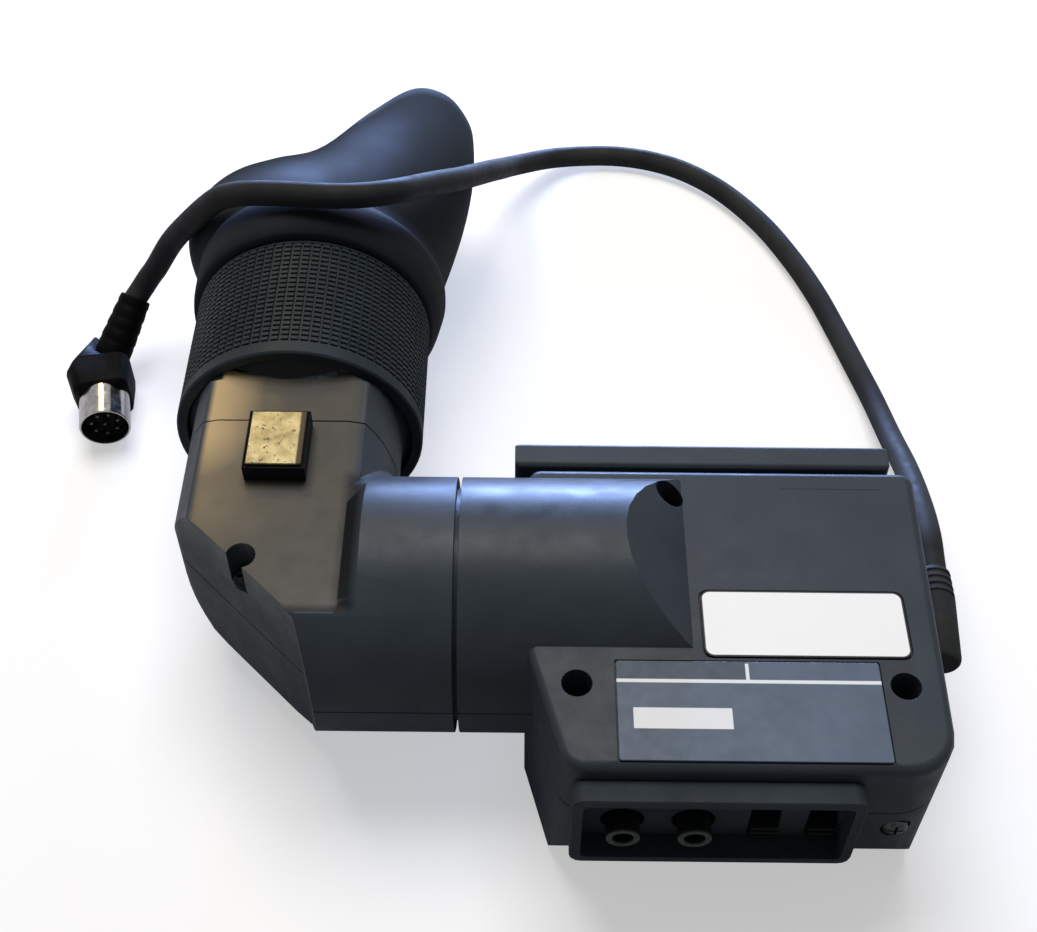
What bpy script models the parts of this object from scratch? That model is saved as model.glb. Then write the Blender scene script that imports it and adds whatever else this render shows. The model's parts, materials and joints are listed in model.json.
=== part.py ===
"""Electronic viewfinder with a rotating elbow and a flip-open eyepiece, lying label side up.

Blender 4.5, metres, +Z up. The lower shell's flat bottom lies on z = 0. The round tube's axis runs
along X at y = 0, and the eyepiece's axis along Y. The housing and what it holds stay still.
"""

import math

import bmesh
import bpy
from mathutils import Matrix, Vector

# Fits that every piece shares
GAP = 0.0003
WALL = 0.0022
OVERRUN = 0.0020
FLUSH = 0.0001
ROUND_SIDES = 40
PART_SIDES = 20
SMALL_SIDES = 12

# Housing: a flat box with a tapered corner, whose round tube leaves it on the left
TUBE_RADIUS = 0.0280
TUBE_LIFT = 0.0055
LABEL_RISE = 0.0170
AXIS_HEIGHT = TUBE_RADIUS + TUBE_LIFT
BODY_HEIGHT = AXIS_HEIGHT + LABEL_RISE
BODY_SIDE = 0.0430
SIDE_TAPER = 0.0020
BODY_FRONT = 0.0499
RAIL_GAP = 0.0004
RAIL_NEAR = TUBE_RADIUS + RAIL_GAP
RAIL_STANDOFF = 0.0030
BODY_BACK = RAIL_NEAR - RAIL_STANDOFF
TAPER_START = 0.0230
TAPER_DEPTH = 0.0075
CORNER_RIGHT = 0.0100
CORNER_LEFT = 0.0060
CORNER_BACK = 0.0030
EDGE_ROUND = 0.0020
TOE_RISE = 0.0185
TOE_RUN = 0.0088
TUBE_REACH = 0.0142
RAMP_FOOT = 0.0091
RAMP_RUN = 0.0134

# Screws and the wells that they stand in
WELL_RADIUS = 0.00315
BOSS_RADIUS = 0.0045
WELL_DEPTH = 0.0105
WELL_SEAT = BODY_HEIGHT - WELL_DEPTH
SCREW_HEAD_RADIUS = 0.0026
SCREW_HEAD = 0.0020
SCREW_RADIUS = 0.0013
SCREW_LENGTH = 0.0160
WELL_ROOM_FRONT = 0.0192
WELL_ROOM_BACK = 0.0091
WELL_PLACES = {
    "case_screw_left": (-0.0329, WELL_ROOM_FRONT - BODY_FRONT),
    "case_screw_right": (0.0329, WELL_ROOM_FRONT - BODY_FRONT),
    "case_screw_ramp": (-0.0120, BODY_BACK - WELL_ROOM_BACK),
}
FRONT_SCREW_X = 0.0324
FRONT_SCREW_DROP = 0.0065
FRONT_SCREW_Z = AXIS_HEIGHT - FRONT_SCREW_DROP
FRONT_SCREW_SINK = 0.0018
FRONT_BOSS_DEPTH = 0.0075
FRONT_SCREW_LENGTH = 0.0045

# Bare plate and bare sticker on the label face
PLATE_LEFT, PLATE_RIGHT = -0.0250, 0.0280
PLATE_NEAR, PLATE_FAR = -0.0480, -0.0254
STICKER_LEFT, STICKER_RIGHT = -0.0069, 0.0353
STICKER_NEAR, STICKER_FAR = -0.0242, -0.0079
STICKER_CORNER = 0.0020
LABEL_THICKNESS = 0.0005
LABEL_STANDS = 0.0002

# Control block in the front wall
PANEL_LEFT, PANEL_RIGHT = -0.0340, 0.0232
PANEL_DROP = 0.0040
PANEL_HEIGHT = 0.0254
PANEL_TOP = BODY_HEIGHT - PANEL_DROP
PANEL_BOTTOM = PANEL_TOP - PANEL_HEIGHT
PANEL_STANDS = 0.0050
PANEL_CORNER = 0.0025
PANEL_RIM = 0.0022
PANEL_STEP = 0.0010
PANEL_SINK = 0.0003
PANEL_PLATE = 0.0016
KNOB_PLACES = {"bright": -0.0233, "contrast": -0.0089}
KNOB_RISE = 0.0084
KNOB_HEIGHT = PANEL_BOTTOM + KNOB_RISE
KNOB_HOLE = 0.0045
KNOB_RADIUS = 0.0035
KNOB_REACH = 0.0041
KNOB_BACK = 0.0034
KNOB_HOLLOW_RADIUS = 0.0022
KNOB_HOLLOW_DEPTH = 0.0030
SPINDLE_RADIUS = 0.0015
SPINDLE_LENGTH = 0.0045
SWITCH_PLACES = {"peaking": 0.0055, "tally": 0.0172}
WINDOW_WIDTH = 0.0062
WINDOW_RISE = 0.0029
WINDOW_HEIGHT = 0.0100
WINDOW_BOTTOM = PANEL_BOTTOM + WINDOW_RISE
WINDOW_TOP = WINDOW_BOTTOM + WINDOW_HEIGHT
SLIDER_HEIGHT = 0.0048
SLIDER_REACH = 0.0012
STEM_WIDTH = 0.0024
STEM_HEIGHT = 0.0020
STEM_LENGTH = 0.0030
CONTROL_BODY_FRONT = 0.0460
CONTROL_BODY_DEPTH = 0.0064
CONTROL_BODY_WIDTH = 0.0094
CONTROL_BODY_HEIGHT = 0.0130
BOARD_THICKNESS = 0.0016
CONTROL_BOARD_MARGIN = 0.0020
POST_RADIUS = 0.0018
POST_SHARES = (0.08, 0.47)
POST_DROP = 0.0060

# Main board on its four posts, and what stands on it
MAIN_BOARD_LEFT, MAIN_BOARD_RIGHT = -0.0070, 0.0385
MAIN_BOARD_ROOM = 0.0027
MAIN_BOARD_NEAR, MAIN_BOARD_FAR = -0.0255, BODY_BACK - WALL - MAIN_BOARD_ROOM
MAIN_BOARD_HEIGHT = 0.0060
STANDOFF_RADIUS = 0.0022
STANDOFF_INSET = 0.0030
FLYBACK_RADIUS = 0.0080
FLYBACK_HEIGHT = 0.0225
CAPACITOR_RADIUS = 0.0040
CAPACITOR_TALL = 0.0150
CAPACITOR_SHORT = 0.0100
CONNECTOR_SIZE = (0.0100, 0.0050, 0.0060)
FLYBACK_ROOM = 0.0164
FLYBACK_PLACE = (0.0290, BODY_BACK - FLYBACK_ROOM)
TALL_PLACE = (0.0300, -0.0130)
SHORT_PLACE = (0.0190, -0.0180)
CONNECTOR_PLACE = (0.0045, -0.0205)

# Picture tube along the tube's axis
SCREEN_SETBACK = 0.0110
SCREEN_ROOM = 0.0045
SKIRT_LENGTH = 0.0062
FUNNEL_LENGTH = 0.0160
NECK_RADIUS = 0.0068
NECK_LENGTH = 0.0370
YOKE_FLARE = 0.0065
YOKE_LENGTH = 0.0055
HOLDER_LENGTH = 0.0045
HOLDER_LIP = 0.0020
SOCKET_RADIUS = 0.0090
SOCKET_LENGTH = 0.0036
SOCKET_BOARD_ROOM = 0.0028
SOCKET_BOARD_SIDE = 2 * (LABEL_RISE - WALL - SOCKET_BOARD_ROOM)

# Slide rail along the back
RAIL_LEFT, RAIL_RIGHT = -0.0458, 0.0390
RAIL_DROP = 0.0028
RAIL_HEIGHT = 0.0307
RAIL_TOP = BODY_HEIGHT - RAIL_DROP
RAIL_BOTTOM = RAIL_TOP - RAIL_HEIGHT
RAIL_THICKNESS = 0.0067
RAIL_FAR = RAIL_NEAR + RAIL_THICKNESS
RAIL_WEB_INSET = 0.0058
RAIL_BEVEL = 0.0008
RAIL_SCREW_RISE = 0.0095
RAIL_SCREW_HEIGHT = RAIL_BOTTOM + RAIL_SCREW_RISE
RAIL_SCREW_SHARES = {"rail_screw_left": 0.22, "rail_screw_right": 0.80}
RAIL_HEAD_RADIUS = 0.0030
RAIL_SCREW_LENGTH = 0.0135
RAIL_BOSS_DEPTH = 0.0070

# Elbow: a round tube and a flat-sided neck that meet at a 45 degree mirror wall
SEAM_GAP = 0.0010
ELBOW_AXIS_X = -0.0977
ELBOW_CHAMFER = 0.0040
NECK_SIDE_CUT = 0.0034
NECK_TOP_CUT = 0.0059
NECK_HALF_WIDTH = TUBE_RADIUS - NECK_SIDE_CUT
NECK_HALF_HEIGHT = TUBE_RADIUS - NECK_TOP_CUT
NECK_SIDE_BOW = 1.14
SHOULDER_STEP = 0.0086
ELBOW_SHOULDER = NECK_HALF_WIDTH - SHOULDER_STEP
MIRROR_WALL = 0.0113
MIRROR_WALL_END = 0.0072
MIRROR_END_SLOPE = 0.33
MIRROR_CORNER_STEP = 0.0160
MIRROR_CORNER = TUBE_RADIUS - MIRROR_CORNER_STEP
FLIP_SEAM_ROOM = 0.0058
FLIP_SEAM_Y = TUBE_RADIUS + FLIP_SEAM_ROOM
SPIGOT_ROOM = 0.0004
SPIGOT_RADIUS = TUBE_RADIUS - WALL - SPIGOT_ROOM
SPIGOT_WALL = 0.0020
SCREEN_RADIUS = SPIGOT_RADIUS - SPIGOT_WALL - SCREEN_ROOM
YOKE_STEP = 0.0044
YOKE_RADIUS = SCREEN_RADIUS - YOKE_STEP
SPIGOT_LENGTH = 0.0072
SPIGOT_ROOT = 0.0060
RETAINER_LENGTH = 0.0020
MIRROR_THICKNESS = 0.0014
MIRROR_END_ROOM = 0.0036
MIRROR_HALF_LENGTH = TUBE_RADIUS - MIRROR_END_ROOM
MIRROR_ROOM = 0.0071
MIRROR_HALF_HEIGHT = NECK_HALF_HEIGHT - MIRROR_ROOM
LEDGE_STEP = 0.0020
LEDGE_PLACE = MIRROR_HALF_HEIGHT + LEDGE_STEP
LEDGE_WIDTH = 0.0030
ELBOW_WELL = (-0.1028, -0.0037)
ELBOW_BOSS_RADIUS = 0.0041
ELBOW_WELL_RISE = 0.0125
ELBOW_WELL_SEAT = AXIS_HEIGHT + ELBOW_WELL_RISE

# Catch that lets the eyepiece open
CATCH_LEFT, CATCH_RIGHT = -0.1045, -0.0910
CATCH_NEAR, CATCH_FAR = 0.0162, 0.0327
CATCH_HEIGHT = 0.0044
CATCH_PLATE = 0.0006
CATCH_PLATE_INSET = 0.0007
CATCH_TRAVEL = 0.0030
CATCH_STEM_WIDTH = 0.0060
CATCH_STEM_LENGTH = 0.0060
CATCH_STEM_DROP = 0.0042
CATCH_STEM_SETBACK = 0.0052
LEAF_THICKNESS = 0.0005
LEAF_WIDTH = 0.0040
LEAF_REACH = 0.0100
LEAF_PAD = 0.0040

# Hinge of the eyepiece under the seam
HINGE_DROP = 0.0028
HINGE_HEIGHT = AXIS_HEIGHT - NECK_HALF_HEIGHT - HINGE_DROP
KNUCKLE_RADIUS = 0.0024
PIN_RADIUS = 0.0012
KNUCKLE_HALF = 0.0055
EAR_WIDTH = 0.0060
KNUCKLE_LEG = 0.0060

# Eyepiece: neck, cone and the sleeve that the focus ring turns on
NECK_FACE_Y = 0.0465
CONE_LENGTH = 0.0036
SLEEVE_SET = 0.0014
SLEEVE_RADIUS = TUBE_RADIUS - SLEEVE_SET
SLEEVE_END_Y = 0.0960
SLEEVE_WALL = 0.0026
RING_START_Y = 0.0482
RING_END_Y = 0.0858
RING_WALL = 0.0029
RING_RADIUS = SLEEVE_RADIUS + RING_WALL
RING_BEZEL = 0.0040
RING_GRIP_SINK = 0.0007
RING_GRIP_ROWS = 4
BARREL_START_Y = 0.0590
BARREL_LENGTH = 0.0170
BARREL_WALL = 0.0024
LENS_EDGE = 0.0030
LENS_CROWN = 0.0022
LENS_RETAINER = 0.0020

# Eyecup and the ring that it grips
COLLAR_START_Y = 0.0868
COLLAR_END_Y = 0.1010
CUP_RING_END_Y = 0.0935
CUP_RING_WALL = 0.0016
CUP_RING_RADIUS = SLEEVE_RADIUS + CUP_RING_WALL
CUP_WALL = 0.0020
COLLAR_WALL = 0.0052
COLLAR_SLACK = 0.0034
COLLAR_RADIUS = CUP_RING_RADIUS + COLLAR_WALL
CUP_WAIST = 0.0022
CUP_WAIST_RADIUS = COLLAR_RADIUS - CUP_WAIST
CUP_RIM_NEAR_Y = 0.1215
CUP_RIM_FAR_Y = 0.1640
CUP_RIM_RIGHT = 0.0392
CUP_RIM_LEFT = 0.0366
CUP_RIM_HALF_HEIGHT = 0.0250
CUP_LOBE_SHARES = (0.965, 0.975, 1.0, 0.89, 0.53, 0.13, 0.065, 0.06, 0.04, 0.012, 0.0)
CUP_SWELL_SHARE = 0.62
CUP_STEPS = 7

# Cable, its strain relief on the right wall and its plug
CORD_DIAMETER = 0.0062
CORD_STEP_DIAMETERS = 2.4
END_SHARE = 0.2
RELIEF_NEAR_Y, RELIEF_FAR_Y = -0.0160, 0.0117
RELIEF_NEAR_X, RELIEF_FAR_X = 0.0478, 0.0495
RELIEF_HEIGHT = 0.0305
RELIEF_RADIUS = 0.0044
RELIEF_TIP_RADIUS = 0.0039
RELIEF_RIB = 0.0007
RELIEF_RIBS = 4
RELIEF_FOOT_LENGTH = 0.0120
RELIEF_FOOT_HEIGHT = 0.0080
PLUG_FACE = (-0.1542, 0.0726, 0.0085)
PLUG_TURN = math.radians(11)
SHELL_RADIUS = 0.0066
SHELL_WALL = 0.0005
SHELL_LENGTH = 0.0125
KEY_WIDTH = 0.0024
KEY_LENGTH = 0.0070
INSERT_START = 0.0040
INSERT_END = 0.0078
PIN_CARRIER = 0.0014
CONTACT_RADIUS = 0.0007
CONTACT_CIRCLE = 0.0035
CONTACT_START = 0.0012
CONTACT_COUNT = 7
PLUG_BODY_START = 0.0095
PLUG_BODY_END = 0.0285
PLUG_HALF_WIDTH = 0.0088
PLUG_HALF_HEIGHT = 0.0078
BOOT_TOP = (-0.1485, 0.1122, 0.0215)
BOOT_RADIUS = 0.0052
BOOT_TIP_RADIUS = 0.0044
BOOT_RIBS = 4
CORD_ROUTE = [
    (0.0495, 0.0120, 0.0305),
    (0.0497, 0.0155, 0.0305),
    (0.0502, 0.0230, 0.0301),
    (0.0511, 0.0350, 0.0262),
    (0.0526, 0.0529, 0.0175),
    (0.0530, 0.0729, 0.0080),
    (0.0516, 0.0893, 0.0040),
    (0.0486, 0.1028, 0.0034),
    (0.0453, 0.1159, 0.0034),
    (0.0411, 0.1313, 0.0034),
    (0.0355, 0.1466, 0.0034),
    (0.0279, 0.1623, 0.0034),
    (0.0177, 0.1766, 0.0034),
    (0.0071, 0.1861, 0.0034),
    (-0.0035, 0.1914, 0.0034),
    (-0.0144, 0.1938, 0.0034),
    (-0.0255, 0.1933, 0.0038),
    (-0.0367, 0.1880, 0.0068),
    (-0.0476, 0.1743, 0.0150),
    (-0.0510, 0.1596, 0.0258),
    (-0.0543, 0.1450, 0.0366),
    (-0.0612, 0.1245, 0.0508),
    (-0.0683, 0.1115, 0.0596),
    (-0.0748, 0.0998, 0.0672),
    (-0.0815, 0.0947, 0.0700),
    (-0.0886, 0.0931, 0.0708),
    (-0.0959, 0.0933, 0.0708),
    (-0.1041, 0.0950, 0.0698),
    (-0.1116, 0.0971, 0.0680),
    (-0.1166, 0.0994, 0.0654),
    (-0.1213, 0.1020, 0.0615),
    (-0.1290, 0.1065, 0.0516),
    (-0.1379, 0.1130, 0.0380),
    (-0.1450, 0.1159, 0.0257),
    (-0.1466, 0.1142, 0.0237),
    (-0.1485, 0.1122, 0.0215),
]


def surface(name, colour, roughness, metallic=0.0):
    """A material of one colour, with the roughness and metal of the real finish."""
    made = bpy.data.materials.new(name)
    made.use_nodes = True
    shader = made.node_tree.nodes["Principled BSDF"]
    shader.inputs["Base Color"].default_value = (*colour, 1.0)
    shader.inputs["Roughness"].default_value = roughness
    shader.inputs["Metallic"].default_value = metallic
    return made


def body(name, points, faces, finish):
    """One named object from points and faces, with every face turned outwards."""
    mesh = bpy.data.meshes.new(name)
    shape = bmesh.new()
    corners = [shape.verts.new(point) for point in points]
    for face in faces:
        shape.faces.new([corners[index] for index in face])
    bmesh.ops.remove_doubles(shape, verts=shape.verts, dist=GAP / 1000)
    bmesh.ops.recalc_face_normals(shape, faces=shape.faces)
    shape.to_mesh(mesh)
    shape.free()
    mesh.shade_smooth()
    mesh.set_sharp_from_angle(angle=math.radians(35))
    made = bpy.data.objects.new(name, mesh)
    bpy.context.collection.objects.link(made)
    if finish:
        mesh.materials.append(finish)
    else:
        made.hide_render = True
        made.display_type = "WIRE"
    return made


def loft(name, rings, finish, looped=False):
    """A skin over rings of points. Looped, the last ring joins the first, as on a tube with a bore."""
    count = len(rings[0])
    points = [point for ring in rings for point in ring]
    pairs = list(zip(range(len(rings)), range(1, len(rings))))
    if looped:
        pairs.append((len(rings) - 1, 0))
    faces = []
    for first, second in pairs:
        for step in range(count):
            after = (step + 1) % count
            low, high = first * count, second * count
            faces.append((low + step, low + after, high + after, high + step))
    if not looped:
        faces.append(tuple(range(count)))
        faces.append(tuple(range((len(rings) - 1) * count, len(rings) * count)))
    return body(name, points, faces, finish)


def along_axis(axis, along, across, upward):
    """A point from its place along an axis and its two places across it."""
    if axis == "X":
        return (along, across, upward)
    if axis == "Y":
        return (across, along, upward)
    return (across, upward, along)


def circle(radius, sides):
    """Places round a circle. They start half a step on, so that flats stay level."""
    turns = [2 * math.pi * (step + 0.5) / sides for step in range(sides)]
    return [(radius * math.cos(turn), radius * math.sin(turn)) for turn in turns]


def turned(name, profile, centre, axis, finish, sides=PART_SIDES, looped=False):
    """A turned piece: profile lists (place along the axis, radius)."""
    rings = [
        [
            along_axis(axis, along, centre[0] + across, centre[1] + upward)
            for across, upward in circle(radius, sides)
        ]
        for along, radius in profile
    ]
    return loft(name, rings, finish, looped)


def block(name, low, high, finish=None):
    """A box between its lowest and its highest corner."""
    rings = [
        [(low[0], low[1], z), (high[0], low[1], z), (high[0], high[1], z), (low[0], high[1], z)]
        for z in (low[2], high[2])
    ]
    return loft(name, rings, finish)


def rounded(corners, steps=4):
    """An outline with round corners: corners lists (place, place, radius), anticlockwise."""
    outline = []
    for index, (x, y, radius) in enumerate(corners):
        corner = Vector((x, y))
        before = (Vector(corners[index - 1][:2]) - corner).normalized()
        after = (Vector(corners[(index + 1) % len(corners)][:2]) - corner).normalized()
        half = before.angle(after) / 2
        centre = corner + (before + after).normalized() * (radius / math.sin(half))
        start = corner + before * (radius / math.tan(half)) - centre
        sweep = math.pi - 2 * half
        for step in range(steps + 1):
            turn = Matrix.Rotation(sweep * step / steps, 2)
            outline.append(tuple(centre + turn @ start))
    return outline


def inset(outline, depth):
    """The outline moved inwards by the depth, each point along its corner's bisector."""
    moved = []
    for index, place in enumerate(outline):
        point = Vector(place)
        ahead = (Vector(outline[(index + 1) % len(outline)]) - point).normalized()
        behind = (point - Vector(outline[index - 1])).normalized()
        normal = Vector((-ahead.y - behind.y, ahead.x + behind.x)).normalized()
        lean = max(normal.dot(Vector((-ahead.y, ahead.x))), 0.5)
        moved.append(tuple(point + normal * (depth / lean)))
    return moved


def prism(name, axis, levels, finish=None):
    """A straight body: levels lists (place along the axis, outline)."""
    rings = [[along_axis(axis, along, a, b) for a, b in outline] for along, outline in levels]
    return loft(name, rings, finish)


def rectangle(low_a, high_a, low_b, high_b, corner):
    """The outline of a rectangle with round corners."""
    places = [(high_a, high_b), (low_a, high_b), (low_a, low_b), (high_a, low_b)]
    return rounded([(a, b, corner) for a, b in places], steps=3)


def combine(target, tool, operation):
    """Joins a tool to the target or cuts it out, and keeps the tool as a hidden guide."""
    change = target.modifiers.new(tool.name, "BOOLEAN")
    change.operation = operation
    change.object = tool
    tool.hide_render = True
    tool.display_type = "WIRE"


def cut(target, *tools):
    for tool in tools:
        combine(target, tool, "DIFFERENCE")


def join(target, *tools):
    for tool in tools:
        combine(target, tool, "UNION")


def finishes():
    """The finishes by name, as the real pieces have them."""
    return {
        "shell": surface("slate_plastic", (0.045, 0.053, 0.060), 0.42),
        "panel": surface("dark_plastic", (0.030, 0.035, 0.040), 0.50),
        "black": surface("black_plastic", (0.012, 0.012, 0.013), 0.45),
        "rubber": surface("grey_rubber", (0.040, 0.042, 0.045), 0.80),
        "cable": surface("cable_jacket", (0.020, 0.020, 0.020), 0.55),
        "brass": surface("pitted_brass", (0.60, 0.45, 0.18), 0.45, 1.0),
        "chrome": surface("chrome", (0.80, 0.80, 0.80), 0.12, 1.0),
        "steel": surface("blackened_steel", (0.10, 0.10, 0.10), 0.40, 1.0),
        "bright": surface("bright_steel", (0.60, 0.60, 0.60), 0.30, 1.0),
        "glass": surface("lens_glass", (0.85, 0.90, 0.92), 0.03),
        "phosphor": surface("tube_glass", (0.45, 0.50, 0.48), 0.10),
        "mirror": surface("mirror_glass", (0.90, 0.90, 0.90), 0.02, 1.0),
        "board": surface("circuit_board", (0.05, 0.22, 0.10), 0.50),
        "copper": surface("varnished_winding", (0.45, 0.18, 0.06), 0.40, 0.6),
        "white": surface("white_sticker", (0.90, 0.90, 0.90), 0.45),
        "blue": surface("grey_blue_plate", (0.06, 0.08, 0.12), 0.40),
    }


def housing_form(name, depth, finish=None):
    """The housing's outside, moved inwards by the depth: the box, and the round tube with its ramp."""
    side, back, front = BODY_SIDE, BODY_BACK, BODY_FRONT
    outline = inset(
        rounded(
            [
                (side, back, CORNER_BACK),
                (-side, back, CORNER_BACK),
                (-side, -TAPER_START, CORNER_BACK),
                (-side + TAPER_DEPTH, -front, CORNER_LEFT),
                (side - SIDE_TAPER, -front, CORNER_RIGHT),
            ],
            steps=5,
        ),
        depth,
    )
    low, high = depth, BODY_HEIGHT - depth
    edge = max(EDGE_ROUND - depth, 0)
    levels = [(low, outline), (high, outline)]
    if edge:
        levels = [
            (low, inset(outline, edge)),
            (low + edge / 3, inset(outline, edge / 3)),
            (low + edge, outline),
            (high - edge, outline),
            (high - edge / 3, inset(outline, edge / 3)),
            (high, inset(outline, edge)),
        ]
    form = prism(name, "Z", levels, finish)

    reach = -side - TUBE_REACH - (OVERRUN if depth else 0)
    radius = TUBE_RADIUS - depth
    tube = turned(
        name + "_tube", [(reach, radius), (-RAMP_FOOT, radius)], (0, AXIS_HEIGHT), "X", None, ROUND_SIDES
    )
    rise = AXIS_HEIGHT + TUBE_RADIUS - BODY_HEIGHT
    slope = RAMP_RUN / rise
    shift = depth * math.hypot(slope, 1)
    foot = -RAMP_FOOT - shift
    ramp = prism(
        name + "_ramp",
        "Y",
        [
            (y, [(foot + slope * rise, BODY_HEIGHT - rise), (foot - slope * 2 * rise, BODY_HEIGHT + 2 * rise),
                 (foot + slope * rise, BODY_HEIGHT + 2 * rise)])
            for y in (-TUBE_RADIUS - OVERRUN, TUBE_RADIUS + OVERRUN)
        ],
    )
    flat_back = block(
        name + "_flat_back",
        (-side + depth + FLUSH, back - depth - FLUSH, -OVERRUN),
        (side, back + TUBE_RADIUS, BODY_HEIGHT + TUBE_RADIUS),
    )
    cut(tube, ramp, flat_back)
    join(form, tube)

    toe = depth * math.tan(math.atan2(TOE_RISE, TOE_RUN) / 2)
    foot_end = Vector((-front + TOE_RUN + toe, depth))
    front_end = Vector((-front + depth, TOE_RISE + toe))
    beyond = (front_end - foot_end) / 2
    low_end, high_end = foot_end - beyond, front_end + beyond
    wedge = [tuple(low_end), tuple(high_end), (high_end.x, low_end.y)]
    nose = prism(name + "_toe", "X", [(x, wedge) for x in (-side - OVERRUN, side + OVERRUN)])
    cut(form, nose)
    return form


def well_tools(name, place, seat, top):
    """What a screw well takes out: the well itself, and the hole below its seat."""
    profile = [(seat, WELL_RADIUS), (top + OVERRUN, WELL_RADIUS)]
    well = turned(name + "_well", profile, place, "Z", None, PART_SIDES)
    bottom = seat - SCREW_LENGTH - OVERRUN
    hole = turned(
        name + "_hole",
        [(bottom, SCREW_RADIUS + GAP), (seat + OVERRUN, SCREW_RADIUS + GAP)],
        place,
        "Z",
        None,
        SMALL_SIDES,
    )
    return well, hole


def screw(name, place, seat, length, finish, axis="Z", facing=1, head_radius=SCREW_HEAD_RADIUS):
    """A screw with a round head that rests on its seat. Facing says which way the head looks."""
    under, top = seat + facing * GAP, seat + facing * (GAP + SCREW_HEAD)
    tip = seat - facing * length
    profile = [(tip, SCREW_RADIUS * 0.6), (tip + facing * SCREW_RADIUS, SCREW_RADIUS), (under, SCREW_RADIUS),
               (under, head_radius), (top - facing * SCREW_HEAD / 3, head_radius), (top, head_radius * 0.7)]
    made = turned(name, profile, place, axis, finish, SMALL_SIDES)
    slot_half, slot_depth = head_radius * 0.16, SCREW_HEAD * 0.4
    arm = head_radius * 0.62
    low, high = sorted((top - facing * slot_depth, top + facing * OVERRUN))
    for name_end, a, b in (("_slot", arm, slot_half), ("_cross", slot_half, arm)):
        corners = [
            along_axis(axis, along, place[0] + sign * a, place[1] + sign * b)
            for along, sign in ((low, -1), (high, 1))
        ]
        cut(made, block(name + name_end, *corners))
    return made


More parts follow.
